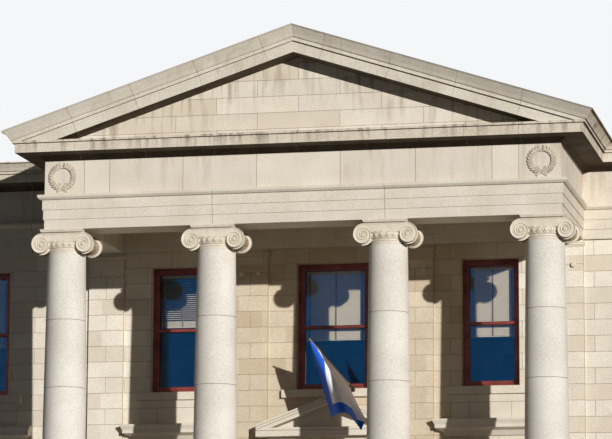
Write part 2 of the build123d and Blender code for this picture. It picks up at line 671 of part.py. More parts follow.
def make_portico_top():
    architrave = portico_course(architrave_profile())
    cornice = portico_course(corona_profile())
    simas = both_sides(flank_sima())
    whole_cornice = cornice.fuse(*simas)
    save("portico_architrave", architrave)
    save("portico_frieze", portico_course([(0, FRIEZE_Z), (0, CORNICE_Z)]))
    save("portico_cornice", whole_cornice)
    base_half = (rake_soffit_z(0) - SIMA_Z) / PEDIMENT_SLOPE
    triangle = [(-base_half, SIMA_Z), (base_half, SIMA_Z), (0, rake_soffit_z(0))]
    save("tympanum", front_slab(triangle, 0, TYMPANUM_THICKNESS))
    right_rake, left_rake = both_sides(raking_cornice())
    save("raking_cornice_right", right_rake)
    save("raking_cornice_left", left_rake)
    right_roof, left_roof = both_sides(roof_slope())
    save("portico_roof_right", right_roof)
    save("portico_roof_left", left_roof)
    save("portico_roof_upstand", roof_upstand())
    save("portico_ceiling", block(-BEAM_INNER_X, BEAM_INNER_X, BEAM_THICKNESS, PORTICO_DEPTH - TAENIA,
                                  FRIEZE_Z - PORCH_CEILING_THICKNESS, FRIEZE_Z))
    make_main_entablature(architrave, [whole_cornice])


# Porch and steps
def make_porch():
    bed_z = PODIUM_HEIGHT - PORCH_FLOOR_THICKNESS
    save("porch_podium", block(-PORCH_HALF, PORCH_HALF, PORCH_FRONT_Y, PORCH_REAR_Y, 0, bed_z))
    save("porch_floor", block(-PORCH_HALF, PORCH_HALF, PORCH_FRONT_Y, PORCH_REAR_Y, bed_z, PODIUM_HEIGHT))
    rise = PODIUM_HEIGHT / STEP_COUNT
    outline = [(PORCH_FRONT_Y, 0)]
    foot_y = PORCH_FRONT_Y - (STEP_COUNT - 1) * STEP_TREAD
    for k in range(STEP_COUNT - 1):
        outline.append((foot_y + k * STEP_TREAD, k * rise))
        outline.append((foot_y + k * STEP_TREAD, (k + 1) * rise))
    outline.append((PORCH_FRONT_Y, (STEP_COUNT - 1) * rise))
    save("entrance_steps", side_slab(outline[::-1], -STEPS_HALF, STEPS_HALF))
    cheek = block(STEPS_HALF, PORCH_HALF, foot_y - STEP_TREAD, PORCH_FRONT_Y, 0, PODIUM_HEIGHT)
    save("step_cheeks", both_sides(cheek))


# Door
def door_hood():
    """A small pediment over the door, standing on the wall above the surround."""
    half = DOOR_HOOD_HALF_WIDTH
    tip_z = UPPER_SILL_Z - SILL_HEIGHT - DOOR_HOOD_SLOPE * half
    apex_z = tip_z + DOOR_HOOD_SLOPE * half
    rake = [(-half, tip_z), (0, apex_z), (half, tip_z), (half, tip_z - DOOR_HOOD_CORNICE),
            (-half, tip_z - DOOR_HOOD_CORNICE)]
    solid = front_slab(rake, -DOOR_HOOD_PROJECTION, 0)
    inner_half = half - DOOR_HOOD_RAKE / DOOR_HOOD_SLOPE
    field = [(-inner_half, tip_z), (0, apex_z - DOOR_HOOD_RAKE), (inner_half, tip_z)]
    solid -= front_slab(field, -DOOR_HOOD_PROJECTION, -DOOR_HOOD_PROJECTION / 4)
    bed_z = tip_z - DOOR_HOOD_CORNICE
    bed_out = DOOR_HOOD_PROJECTION / 2
    solid += block(-half + bed_out, half - bed_out, -bed_out, 0, DOOR_HEAD_Z + DOOR_SURROUND_WIDTH, bed_z)
    return (Pos(0, FRONT_WALL_Y, 0) * solid).cut(pilaster(-INNER_COLUMN_X), pilaster(INNER_COLUMN_X))


def door_surround():
    """Flat stone band up both sides of the doorway and over it."""
    inner = DOOR_WIDTH / 2
    outer = inner + DOOR_SURROUND_WIDTH
    y0 = FRONT_WALL_Y - DOOR_SURROUND_PROJECTION
    band = block(-outer, outer, y0, FRONT_WALL_Y, PODIUM_HEIGHT, DOOR_HEAD_Z + DOOR_SURROUND_WIDTH)
    return band - block(-inner, inner, y0, FRONT_WALL_Y, PODIUM_HEIGHT, DOOR_HEAD_Z)


def make_door():
    half = DOOR_WIDTH / 2
    y0 = FRONT_WALL_Y + REVEAL
    y1 = y0 + FRAME_DEPTH
    leaf_half = half - FRAME_WIDTH
    leaf_top = PODIUM_HEIGHT + DOOR_LEAF_HEIGHT
    frame = block(-half, half, y0, y1, PODIUM_HEIGHT, DOOR_HEAD_Z)
    frame -= block(-leaf_half, leaf_half, y0, y1, PODIUM_HEIGHT, leaf_top)
    frame -= block(-leaf_half, leaf_half, y0, y1, leaf_top + FRAME_WIDTH, DOOR_HEAD_Z - FRAME_WIDTH)
    save("door_frame", frame)
    leaf_y = y0 + SASH_STEP
    leaf = block(1, leaf_half, leaf_y, leaf_y + DOOR_LEAF_THICKNESS, PODIUM_HEIGHT, leaf_top)
    save("door_leaves", both_sides(leaf))
    save("door_transom_glass", block(-leaf_half, leaf_half, leaf_y, leaf_y + GLASS_THICKNESS,
                                     leaf_top + FRAME_WIDTH, DOOR_HEAD_Z - FRAME_WIDTH))
    save("door_surround", door_surround())
    save("door_hood", door_hood())


# Flag
def pole_direction():
    """Unit vector from the bracket to the tip of the pole."""
    rise = POLE_RISE * pi / 180
    swing = POLE_SWING * pi / 180
    return Vector(-sin(swing) * cos(rise), -cos(swing) * cos(rise), sin(rise))


def pole_foot():
    """Where the pole's axis meets the front of the sill."""
    sill_middle_z = UPPER_SILL_Z - SILL_HEIGHT / 2
    return Vector(BRACKET_X, FRONT_WALL_Y - SILL_PROJECTION, sill_middle_z)


def flag_bracket():
    """A plate on the sill's face with a socket for the pole."""
    foot = pole_foot()
    half = BRACKET_WIDTH / 2
    plate = block(foot.X - half, foot.X + half, foot.Y - BRACKET_PLATE, foot.Y, foot.Z - half, foot.Z + half)
    axis = Plane(origin=foot, z_dir=pole_direction())
    overlong = axis * turned([(SOCKET_RADIUS, -SOCKET_LENGTH), (SOCKET_RADIUS, SOCKET_LENGTH)], POLE_SIDES)
    behind = block(foot.X - SOCKET_LENGTH, foot.X + SOCKET_LENGTH, foot.Y, foot.Y + 2 * SOCKET_LENGTH,
                   foot.Z - SOCKET_LENGTH, foot.Z + SOCKET_LENGTH)
    return plate + (overlong - behind)


def flag_pole():
    """The pole from the socket's mouth to its turned spear tip."""
    axis = Plane(origin=pole_foot() + pole_direction() * SOCKET_LENGTH, z_dir=pole_direction())
    return axis * turned([
        (POLE_RADIUS, 0), (POLE_RADIUS, POLE_LENGTH), (FINIAL_RADIUS, POLE_LENGTH + 0.3 * FINIAL_LENGTH),
        (POLE_RADIUS / 4, POLE_LENGTH + FINIAL_LENGTH)], POLE_SIDES)


def flag_cloth():
    """The room that the hanging cloth takes, as a thick sheet under the pole."""
    start = pole_foot() + pole_direction() * SOCKET_LENGTH
    outward = Vector(pole_direction().X, pole_direction().Y, 0).normalized()
    across = Vector(-outward.Y, outward.X, 0)
    rise = POLE_RISE * pi / 180
    below = POLE_RADIUS + CLOTH_CLEARANCE

    def at_pole(along):
        return along * cos(rise) + below * sin(rise), along * sin(rise) - below * cos(rise)

    outer = at_pole(POLE_LENGTH - HOIST_TO_TIP)
    inner = at_pole(POLE_LENGTH - HOIST_TO_TIP - HOIST_LENGTH)
    outline = [
        inner, outer, (outer[0] - OUTER_CORNER_IN, outer[1] - OUTER_CORNER_DOWN),
        (inner[0] - INNER_CORNER_IN, inner[1] - INNER_CORNER_DOWN),
    ]
    face = Plane(origin=start, x_dir=outward, z_dir=outward.cross(Vector(0, 0, 1))) * Polygon(*outline, align=None)
    half = across * (CLOTH_SPREAD / 2)
    return Pos(*(half * -1)) * extrude(face, CLOTH_SPREAD, dir=across)


def make_flag():
    save("flag_bracket", flag_bracket())
    save("flag_pole", flag_pole())
    save("flag", flag_cloth())


os.makedirs("parts", exist_ok=True)
make_walls()
make_floors_and_roof()
make_windows()
make_columns()
make_portico_top()
make_porch()
make_door()
make_flag()
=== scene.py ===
from math import cos, pi, radians, sin

import bmesh
import bpy
from mathutils import Matrix, Vector


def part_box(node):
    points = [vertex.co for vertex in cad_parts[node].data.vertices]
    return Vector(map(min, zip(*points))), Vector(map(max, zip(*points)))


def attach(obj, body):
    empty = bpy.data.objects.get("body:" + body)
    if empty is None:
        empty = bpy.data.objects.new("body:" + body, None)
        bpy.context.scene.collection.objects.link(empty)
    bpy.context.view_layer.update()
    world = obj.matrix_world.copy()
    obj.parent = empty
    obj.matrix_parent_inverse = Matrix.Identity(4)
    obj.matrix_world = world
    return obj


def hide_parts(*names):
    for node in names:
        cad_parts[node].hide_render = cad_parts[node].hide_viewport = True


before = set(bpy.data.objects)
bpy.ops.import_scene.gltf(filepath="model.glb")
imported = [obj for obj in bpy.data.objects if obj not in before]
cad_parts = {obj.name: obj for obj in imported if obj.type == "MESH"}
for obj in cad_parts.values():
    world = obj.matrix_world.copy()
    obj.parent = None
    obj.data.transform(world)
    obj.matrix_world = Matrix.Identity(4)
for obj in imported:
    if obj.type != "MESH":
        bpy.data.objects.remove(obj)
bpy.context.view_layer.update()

# Levels and plan lines of the building, in metres, read from the frame
ARCHITRAVE_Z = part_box("portico_architrave")[0].z
FRIEZE_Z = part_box("portico_frieze")[0].z
CORNICE_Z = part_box("portico_frieze")[1].z
PORCH_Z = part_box("porch_floor")[1].z
SHAFT_FOOT_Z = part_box("column_shafts")[0].z
NECK_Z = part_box("column_capitals")[0].z
WALL_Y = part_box("front_wall_left")[0].y
REAR_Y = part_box("rear_wall")[1].y
SIDE_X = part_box("right_wall")[1].x
PILASTER_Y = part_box("pilasters")[0].y

# Columns
COLUMN_XS = (-5.15, -1.85, 1.85, 5.15)
COLUMN_Y = 0.4
SHAFT_RADIUS = 0.465
NECK_RADIUS = 0.405
DRUM_JOINTS = [ARCHITRAVE_Z - below for below in (1.929, 3.371, 4.813, 6.255)]
DRUM_JOINT = 0.006
SHAFT_ROWS = 16
ROUND_SIDES = 64
SHAFT_STRAIGHT_PART = 0.3
SHAFT_SWELL = 1.35
SHAFT_FLARE = 0.018
PLINTH_HALF = 0.64
PLINTH_TOP_Z = PORCH_Z + 0.17
LOWER_ROUND = 0.06
LOWER_ROUND_REACH = 0.64
HOLLOW_REACH = 0.575
HOLLOW_DEPTH = 0.045
HOLLOW_RISE = 0.07
HOLLOW_SETBACK = 0.02
BASE_FILLET = 0.015
UPPER_ROUND = 0.045
UPPER_ROUND_REACH = 0.545

# Capitals
CAPITAL_HEIGHT = ARCHITRAVE_Z - NECK_Z
CAPITAL_HALF = 0.4
ABACUS_HALF = 0.47
ABACUS_HEIGHT = 0.072
EYE_OUT = 0.467
VOLUTE_RADIUS = 0.2415
EYE_Z = ARCHITRAVE_Z - ABACUS_HEIGHT - VOLUTE_RADIUS
EYE_RADIUS = 0.042
VOLUTE_PLATE = 0.11
VOLUTE_SHRINK = 0.58
VOLUTE_TURNS = 2.9
VOLUTE_STEPS = 28
VOLUTE_WAY = -1
CHANNEL_SAG = 0.1
CHANNEL_STEPS = 8
EGG_COUNT = 20
EGG_REACH = 0.434
EGG_Z = ARCHITRAVE_Z - 0.320
EGG_PITCH_WIDTH = 2 * pi * EGG_REACH / EGG_COUNT
BEAD_COUNT = 66
BEAD_REACH = 0.424
BEAD_Z = ARCHITRAVE_Z - 0.388

# Masonry
COURSE = 0.35
STONE = 1.05
BASE_COURSE = 0.42
BASE_STONE = 1.4
PAVING = 0.9
GABLE_STONE = 1.78
GABLE_FIRST_BED = ARCHITRAVE_Z + 2.001
GABLE_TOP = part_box("tympanum")[1].z
TAENIA_HEIGHT = 0.11
TAENIA_REACH = 0.085
TAENIA_LIP = 0.01
TAENIA_SHIFT = 0.03
SIMA_LEVEL = ARCHITRAVE_Z + 1.838
SIMA_CURVE = ((0, 0.57), (0.0672, 0.608), (0.1248, 0.7125), (0.1632, 0.76), (0.192, 0.76))
SIMA_ROWS = ((0.008, 0.6), (0.0672, 0.636), (0.1248, 0.684), (0.1632, 0.716))
SIMA_CUTS = (0.008, 0.1652)
JOINT_HALF_WIDTH = 0.004
JOINT_DEPTH = 0.008
HOOD_GROOVE = 0.006
WORN_EDGE = 0.004
PEDIMENT_SLOPE = 0.326
FRIEZE_JOINTS = (-4.67, -4.11, -2.5, -0.9, 0.9, 2.5, 4.11, 4.67)
CORONA_JOINTS = (-4.74, -3.3, -1.8, 0, 1.48, 3.6, 4.74)
RAKE_JOINTS = (0.72, 2.13, 3.52, 4.88)
MAIN_JOINTS = (6.9, 8.3, 9.7)
MAIN_DEPTH_JOINTS = (5.2, 7.0, 8.8, 10.6, 12.4, 14.2, 16.0, 17.6)
STEP_JOINTS = (-3.1, -1.2, 0.7, 2.6)
APRON_JOINT = 0.455
DOOR_HOOD_SLOPE = 0.371
DOOR_HOOD_TRIM = 0.2
PILASTER_NECK_Z = ARCHITRAVE_Z - 0.535
ROSETTE_OUT = 0.19
ROSETTE_Z = ARCHITRAVE_Z - 0.547
SAME_PLACE = 0.0005
SAME_ROW = 0.002
OUT_X = Vector((1, 0, 0))
OUT_Y = Vector((0, 1, 0))
UP = Vector((0, 0, 1))

# Windows and their blinds
WINDOW_HEIGHT = 2.8
MIDDLE_WINDOW = 1.63
SIDE_WINDOW = 1.26
END_WINDOW = 1.48
SIDE_WINDOW_X = 3.5
END_WINDOW_X = 8.17
UPPER_SILL = ARCHITRAVE_Z - 0.34 - WINDOW_HEIGHT
GROUND_SILL = PORCH_Z + 0.95
FRAME_STILE = 0.14
BLIND_BEHIND_FACE = 0.40
SLAT_WIDTH = 0.05
SLAT_ARCH = 0.004
FIRST_SLAT = 0.06
# Pitch, number and tilt of the slats
CLOSED_SLATS = (0.042, 35, -62)
RAISED_SLATS = (0.046, 21, -28)
HEAD_BOX = 0.05
TAPE_AREA = 0.03
TAPE_WIDTH = 0.03
GATHERED_SLATS = 19
GATHERED_PITCH = 0.0068
PILE_HEIGHT = 0.14

# Porch ceiling, roof and door
COFFER = 1.1875
SEAM_START = 0.18
SEAM_END = 6.2
SEAM_PITCH = 0.56
SEAM_COUNT = 9
KNOB_X = 0.075
KNOB_HEIGHT = 1.02
BAR_X = 0.32

# Wreaths on the frieze
WREATH_Z = 11.615
WREATH_RADIUS = 0.25
LEAF_STATIONS = 12

# Flag and its pole
POLE_TIP = Vector((-0.168, 1.889, 8.262))
POLE_FOOT = Vector((0.485, 3.300, 7.352))
POLE_RUN = (POLE_TIP - POLE_FOOT).length
POLE_WAY = (POLE_TIP - POLE_FOOT).normalized()
PLATE = 0.018
FLAG_HOIST = 1.5
FLAG_FLY = 1.7
THREADS = 700
FLAG_BELOW_TIP = 0.06
FLAG_SWING = 0.5
FLAG_BREEZE = Vector((0.5, -0.5, -0.7))
TOP_CORNER_END = Vector((0.30, 2.05, 6.57))
LOW_CORNER_END = Vector((0.88, 2.35, 6.31))
FLAG_FRAMES = 90
LED_FRAMES = 45

# Stains on the stone
STREAK_FOOT = 11.9
CORNICE_STREAK_TOP = 12.6
CORONA_STREAK_TOP = 12.34
RAKE_STREAK_TOP = 14.9

# Camera and light, from the photograph
CAMERA_PLACE = (13.6115, -61.4249, 0.1126)
CAMERA_YAW = radians(12.343)
CAMERA_PITCH = radians(9.408)
CAMERA_ROLL = radians(0.211)
CAMERA_LENS = 179.12
SUNLIGHT = Vector((-0.7086, 1, -0.2306))
SOFT_LIGHT = Vector((0.75, -1, -0.75))


# Colours and node helpers
def tint(red, green, blue):
    """A screen colour from 0 to 255 as the linear colour that a shader takes."""
    return tuple((channel / 255) ** 2.2 for channel in (red, green, blue)) + (1,)


def new_material(name):
    material = bpy.data.materials.new(name)
    material.use_nodes = True
    return material, material.node_tree


def feed(tree, socket, value):
    """A number or a plain colour is typed into its socket, and anything else is linked to it."""
    if isinstance(value, (int, float, tuple)):
        socket.default_value = value
    else:
        tree.links.new(value, socket)


def fill(tree, sockets, values):
    for label, value in values.items():
        feed(tree, next(socket for socket in sockets if socket.name == label and socket.enabled), value)


def add_node(tree, kind, values, output=0, **settings):
    """A node with its sockets filled, and the output that is wanted of it."""
    node = tree.nodes.new("ShaderNode" + kind)
    for label, value in settings.items():
        setattr(node, label, value)
    fill(tree, node.inputs, values)
    return node.outputs[output]


def surface(material, values):
    """Fill the material's own shader."""
    fill(material.node_tree, material.node_tree.nodes["Principled BSDF"].inputs, values)
    return material


def place_group(tree, group, values):
    """One of the shared groups, with its outputs found by name."""
    node = tree.nodes.new("ShaderNodeGroup")
    node.node_tree = group
    fill(tree, node.inputs, values)
    return node.outputs


def object_place(tree, turn=(0, 0, 0)):
    """Object coordinates, turned so that a wall lies in the pattern's X and Y."""
    return add_node(tree, "Mapping", {"Vector": add_node(tree, "TexCoord", {}, "Object"), "Rotation": turn})


def stretch(tree, place, scale):
    return add_node(tree, "Mapping", {"Vector": place, "Scale": scale})


def split(tree, place):
    node = tree.nodes.new("ShaderNodeSeparateXYZ")
    tree.links.new(place, node.inputs["Vector"])
    return node.outputs["X"], node.outputs["Y"]


def noise(tree, place, scale, detail=3.0):
    return add_node(tree, "TexNoise", {"Vector": place, "Scale": scale, "Detail": detail, "Roughness": 0.55})


def maths(tree, operation, first, second=0.0):
    """One step of arithmetic."""
    node = tree.nodes.new("ShaderNodeMath")
    node.operation = operation
    for socket, value in zip(node.inputs, (first, second)):
        feed(tree, socket, value)
    return node.outputs["Value"]


def between(tree, value, low, high, to_low=0.0, to_high=1.0):
    """A value carried from one range to another and held at its ends."""
    return add_node(tree, "MapRange", {
        "Value": value, "From Min": low, "From Max": high, "To Min": to_low, "To Max": to_high})


def mixed(tree, factor, first, second, way="MIX"):
    """Two colours mixed by a mask."""
    node = tree.nodes.new("ShaderNodeMix")
    node.data_type = "RGBA"
    node.blend_type = way
    fill(tree, node.inputs, {"Factor": factor, "A": first, "B": second})
    return next(socket for socket in node.outputs if socket.enabled)


def bumped(tree, height, strength, distance):
    return add_node(tree, "Bump", {"Height": height, "Strength": strength, "Distance": distance})


def new_group(name, numbers, results):
    """A group that takes a vector and numbers and gives numbers; its tree, what it is given, and its end's sockets."""
    tree = bpy.data.node_groups.new(name, "ShaderNodeTree")
    tree.interface.new_socket("Vector", in_out="INPUT", socket_type="NodeSocketVector")
    for label, value in numbers.items():
        tree.interface.new_socket(label, in_out="INPUT", socket_type="NodeSocketFloat").default_value = value
    for label in results:
        tree.interface.new_socket(label, in_out="OUTPUT", socket_type="NodeSocketFloat")
    start = tree.nodes.new("NodeGroupInput")
    end = tree.nodes.new("NodeGroupOutput")
    return tree, start.outputs, end.inputs


# Effects that more than one finish uses
def make_stone_grain():
    """Cloudy tone, fine speckle and a pitted surface of sawn limestone."""
    tree, given, end = new_group("stone_grain", {"Cloud Size": 1.4, "Speckle Size": 70.0}, ("Tone", "Height"))
    place, size = given["Vector"], given["Speckle Size"]
    cloud = add_node(tree, "TexNoise", {"Vector": place, "Scale": given["Cloud Size"], "Detail": 5.0})
    speckle = add_node(tree, "TexNoise", {"Vector": place, "Scale": size, "Detail": 2.0})
    hole = between(tree, add_node(tree, "TexVoronoi", {"Vector": place, "Scale": size}), 0.0, 0.35)
    soft = between(tree, cloud, 0.3, 0.7, 0.0, 0.5)
    sharp = between(tree, speckle, 0.35, 0.65, 0.0, 0.5)
    fill(tree, end, {"Tone": maths(tree, "ADD", soft, sharp), "Height": maths(tree, "ADD", hole, speckle)})
    return tree


def make_stone_by_stone():
    """A tone for each stone of a coursed wall, in the pattern's X and Y, with every other course shifted."""
    tree, given, end = new_group(
        "stone_by_stone", {"Length": STONE, "Course": COURSE, "First Course": 0.0}, ("Tone",))
    x, y = split(tree, given["Vector"])
    risen = maths(tree, "SUBTRACT", y, given["First Course"])
    row = maths(tree, "FLOOR", maths(tree, "DIVIDE", risen, given["Course"]))
    aside = maths(tree, "MULTIPLY", maths(tree, "MODULO", row, 2.0), 0.5)
    column = maths(tree, "FLOOR", maths(tree, "ADD", maths(tree, "DIVIDE", x, given["Length"]), aside))
    cell = add_node(tree, "CombineXYZ", {"X": column, "Y": row})
    fill(tree, end, {"Tone": add_node(tree, "TexWhiteNoise", {"Vector": cell}, noise_dimensions="2D")})
    return tree


def make_rain_streaks():
    """Streaks that run down a face and fade from its top level to its bottom level.
    Slope is how fast the top level falls away from the middle, as under a gable's cornice."""
    tree, given, end = new_group(
        "rain_streaks", {"Top": 1.0, "Bottom": 0.0, "Width": 3.0, "Slope": 0.0}, ("Mask",))
    x, y = split(tree, given["Vector"])
    risen = maths(tree, "ADD", y, maths(tree, "MULTIPLY", maths(tree, "ABSOLUTE", x), given["Slope"]))
    fade = between(tree, risen, given["Bottom"], given["Top"])
    drawn = stretch(tree, given["Vector"], (1.0, 0.12, 1.0))
    streak = add_node(tree, "TexNoise", {"Vector": drawn, "Scale": given["Width"], "Detail": 4.0})
    fill(tree, end, {"Mask": maths(tree, "MULTIPLY", between(tree, streak, 0.5, 0.72), fade)})
    return tree


STONE_GRAIN = make_stone_grain()
STONE_BY_STONE = make_stone_by_stone()
RAIN_STREAKS = make_rain_streaks()

# A wall's pattern plane: which way Object coordinates are turned for it
FRONT_TURN = (-pi / 2, 0, 0)
SIDE_TURN = (-pi / 2, -pi / 2, 0)


# Stone finishes
def stone_finish(name, light, dark, turn=FRONT_TURN, stones=None, streaks=None, grain=(1.4, 34.0), bump=0.25,
                 sheltered=None):
    """Sawn stone: stones is (length, course, first course, spread), streaks is (top, bottom, colour, amount, width,
    slope), sheltered is (middle, reach, tone) of a stretch that the rain doesn't bleach."""
    material, tree = new_material(name)
    place, flat_place = object_place(tree), object_place(tree, turn)
    grains = place_group(tree, STONE_GRAIN, {"Vector": place, "Cloud Size": grain[0], "Speckle Size": grain[1]})
    colour = mixed(tree, grains["Tone"], tint(*light), tint(*dark))
    if stones:
        length, course, first_course, spread = stones
        lot = place_group(tree, STONE_BY_STONE, {
            "Vector": flat_place, "Length": length, "Course": course, "First Course": first_course})["Tone"]
        colour = mixed(tree, 1.0, colour, between(tree, lot, 0.0, 1.0, 1.0 - spread, 1.0 + spread / 3), "MULTIPLY")
        colour = mixed(tree, between(tree, lot, 0.45, 0.0, 0.0, 3.0 * spread), colour, tint(*TAN))
    if sheltered:
        middle, reach, tone = sheltered
        away = maths(tree, "ABSOLUTE", maths(tree, "SUBTRACT", split(tree, place)[0], middle))
        colour = mixed(tree, between(tree, away, reach + 0.3, reach - 0.3), colour, tint(*tone), "MULTIPLY")
    if streaks:
        top, bottom, stain, amount, width, slope = streaks
        rain = place_group(tree, RAIN_STREAKS, {
            "Vector": flat_place, "Top": top, "Bottom": bottom, "Width": width, "Slope": slope})["Mask"]
        colour = mixed(tree, maths(tree, "MULTIPLY", rain, amount), colour, tint(*stain))
    return surface(material, {
        "Base Color": colour, "Specular IOR Level": 0.1,
        "Roughness": between(tree, grains["Tone"], 0.0, 1.0, 0.78, 0.92),
        "Normal": bumped(tree, grains["Height"], bump, 0.004)})


TAN = (216, 198, 170)
STAIN = (150, 118, 84)
SOOT = (96, 84, 70)
WALL = ((240, 232, 216), (212, 201, 182))
WALL_STONES = (STONE, COURSE, PORCH_Z, 0.14)

wall_stone = stone_finish("coursed_limestone", *WALL, stones=WALL_STONES)
front_wall_stone = stone_finish(
    "coursed_limestone_of_the_front", *WALL, stones=WALL_STONES, sheltered=(0.3, 2.9, (236, 228, 216)))
side_wall_stone = stone_finish("coursed_limestone_of_the_sides", *WALL, turn=SIDE_TURN, stones=WALL_STONES)
base_stone = stone_finish(
    "base_course_limestone", (216, 207, 190), (182, 169, 148), stones=(BASE_STONE, BASE_COURSE, 0.0, 0.1))
carved_stone = stone_finish("carved_limestone", (228, 219, 203), (202, 191, 172))
frieze_stone = stone_finish(
    "frieze_limestone", (226, 217, 202), (205, 193, 174),
    streaks=(CORNICE_Z + 0.1, FRIEZE_Z - 0.3, STAIN, 0.45, 6.0, 0.0))
pale_frieze_stone = stone_finish("pale_frieze_limestone", (231, 222, 205), (208, 198, 179))
gable_stone = stone_finish(
    "gable_limestone", (235, 228, 213), (208, 194, 172),
    stones=(GABLE_STONE, COURSE, GABLE_FIRST_BED - COURSE, 0.14),
    streaks=(GABLE_TOP, GABLE_TOP - 1.0, (124, 104, 78), 0.75, 7.0, PEDIMENT_SLOPE))
cornice_stone = stone_finish(
    "cornice_limestone", (222, 213, 195), (188, 176, 155),
    streaks=(CORNICE_STREAK_TOP, STREAK_FOOT, SOOT, 0.6, 6.0, 0.0))
corona_stone = stone_finish(
    "sooty_corona_limestone", (226, 216, 198), (190, 176, 154),
    streaks=(CORONA_STREAK_TOP, STREAK_FOOT, SOOT, 0.85, 7.0, 0.0))
rake_stone = stone_finish(
    "rake_limestone", (226, 218, 202), (192, 182, 163), streaks=(RAKE_STREAK_TOP, STREAK_FOOT, STAIN, 0.4, 5.0, 0.0))
column_stone = stone_finish("column_granite", (236, 230, 219), (196, 188, 174), grain=(0.9, 42.0), bump=0.22)
bolster_stone = stone_finish("rain_stained_granite", (198, 180, 152), (78, 60, 44), grain=(7.0, 40.0))
# Painted shade: the wreaths' stone has a much darker mottle than the other carving, standing in for the shade in the
# carving's crevices.
wreath_stone = stone_finish("carving_with_painted_crevice_shade", (224, 213, 195), (160, 144, 120), grain=(9.0, 60.0), bump=0.5)
capital_stone = stone_finish("capital_limestone", (232, 223, 206), (200, 187, 164), grain=(5.0, 60.0))
# Painted shade: a dark brown-grey stone for the faces that look down under the cornices and rakes, standing in for the
# deep shade beneath them.
painted_shade_underside = stone_finish("painted_shade_underside", (104, 92, 78), (62, 54, 46), grain=(2.0, 50.0))
joint_mortar = stone_finish("joint_mortar", (172, 154, 128), (140, 124, 102))
paving_stone = stone_finish(
    "porch_paving", (142, 136, 126), (116, 110, 100), stones=(PAVING, PAVING, 0.0, 0.05), turn=(0, 0, 0))
inner_slab = stone_finish("inner_slab", (190, 182, 168), (166, 158, 142))


# Other finishes
def roof_finish(name, sheet_length, sheet_width, spread):
    """Matt grey roof covering with a fine grit and pale weathering, in sheets of slightly different tone."""
    material, tree = new_material(name)
    place = object_place(tree)
    wear = between(tree, noise(tree, place, 0.8, 6.0), 0.35, 0.7)
    lot = place_group(tree, STONE_BY_STONE, {"Vector": place, "Length": sheet_length, "Course": sheet_width})["Tone"]
    shade = between(tree, lot, 0.0, 1.0, 1.0 - spread, 1.0 + spread)
    colour = mixed(tree, wear, tint(122, 120, 116), tint(156, 153, 146))
    return surface(material, {
        "Base Color": mixed(tree, 1.0, colour, shade, "MULTIPLY"),
        "Roughness": between(tree, wear, 0.0, 1.0, 0.7, 0.9),
        "Normal": bumped(tree, noise(tree, place, 180.0, 2.0), 0.4, 0.003)})


def joinery_finish(name, light, dark):
    """Oil paint over wood: brush marks along the grain and a little dirt."""
    material, tree = new_material(name)
    place = object_place(tree)
    brush = noise(tree, stretch(tree, place, (40.0, 40.0, 3.0)), 1.0, 3.0)
    dirt = between(tree, noise(tree, place, 2.5, 5.0), 0.35, 0.75)
    return surface(material, {
        "Base Color": mixed(tree, dirt, light, dark), "Specular IOR Level": 0.3,
        "Roughness": between(tree, dirt, 0.0, 1.0, 0.35, 0.6),
        "Normal": bumped(tree, brush, 0.2, 0.002)})


def glass_finish():
    """Window glass, slightly wavy, that lets the sun through to the blinds; its blue specular tint and dark blue
    colour are a painted reflection of a deep blue sky.
    """
    material, tree = new_material("window_glass_with_painted_sky_reflection")
    place = object_place(tree)
    dust = between(tree, noise(tree, place, 6.0, 6.0), 0.45, 0.8, 0.0, 0.5)
    return surface(material, {
        # Painted reflection: the blue specular tint, raised IOR and dark blue base colour stand in for a reflected
        # deep blue sky.
        "IOR": 2.2, "Specular IOR Level": 1.0, "Specular Tint": (0.0, 0.36, 1.0, 1),
        "Alpha": between(tree, dust, 0.0, 1.0, 0.15, 0.2),
        "Base Color": mixed(tree, dust, tint(0, 34, 64), tint(12, 54, 88)),
        "Roughness": between(tree, dust, 0.0, 0.5, 0.03, 0.14),
        "Normal": bumped(tree, noise(tree, place, 1.6, 1.0), 0.1, 0.01)})


def blind_finish(name, light, dark):
    """Painted slats or woven tape, a little dusty."""
    material, tree = new_material(name)
    dust = noise(tree, object_place(tree), 5.0, 4.0)
    return surface(material, {
        "Base Color": mixed(tree, dust, light, dark), "Specular IOR Level": 0.2,
        "Roughness": between(tree, dust, 0.3, 0.7, 0.4, 0.6)})


def metal_finish(name, light, dark, metallic):
    material, tree = new_material(name)
    wear = between(tree, noise(tree, object_place(tree), 14.0, 5.0), 0.4, 0.7)
    return surface(material, {
        "Base Color": mixed(tree, wear, light, dark), "Metallic": metallic,
        "Roughness": between(tree, wear, 0.0, 1.0, 0.3, 0.55)})


def pole_finish():
    """Varnished wood with grain along the pole."""
    material, tree = new_material("varnished_pole")
    grain = noise(tree, stretch(tree, object_place(tree), (60.0, 6.0, 10.0)), 1.0, 4.0)
    return surface(material, {
        "Base Color": mixed(tree, grain, tint(196, 146, 70), tint(118, 78, 36)), "Coat Weight": 0.4, "Roughness": 0.4})


def flag_finish():
    """Woven bunting on the cloth's own UV map: a blue band along the top and the fly, and a white field."""
    material, tree = new_material("blue_and_white_bunting")
    cloth = add_node(tree, "UVMap", {})
    x, y = split(tree, cloth)
    band = maths(tree, "MAXIMUM", maths(tree, "GREATER_THAN", x, 0.86), maths(tree, "GREATER_THAN", y, 0.82))
    threads = stretch(tree, cloth, (FLAG_FLY * THREADS, FLAG_HOIST * THREADS, 1.0))
    weave = add_node(tree, "TexChecker", {"Vector": threads, "Scale": 1.0}, "Fac")
    faded = noise(tree, stretch(tree, cloth, (3.0, 2.0, 1.0)), 2.0, 4.0)
    blue = mixed(tree, faded, tint(0, 80, 196), tint(0, 104, 224))
    white = mixed(tree, faded, tint(246, 242, 248), tint(232, 228, 236))
    field = mixed(tree, maths(tree, "LESS_THAN", x, 0.03), white, tint(196, 190, 184))
    return surface(material, {
        "Base Color": mixed(tree, band, field, blue), "Sheen Weight": 0.1, "Roughness": 0.85,
        "Normal": bumped(tree, weave, 0.15, 0.001)})


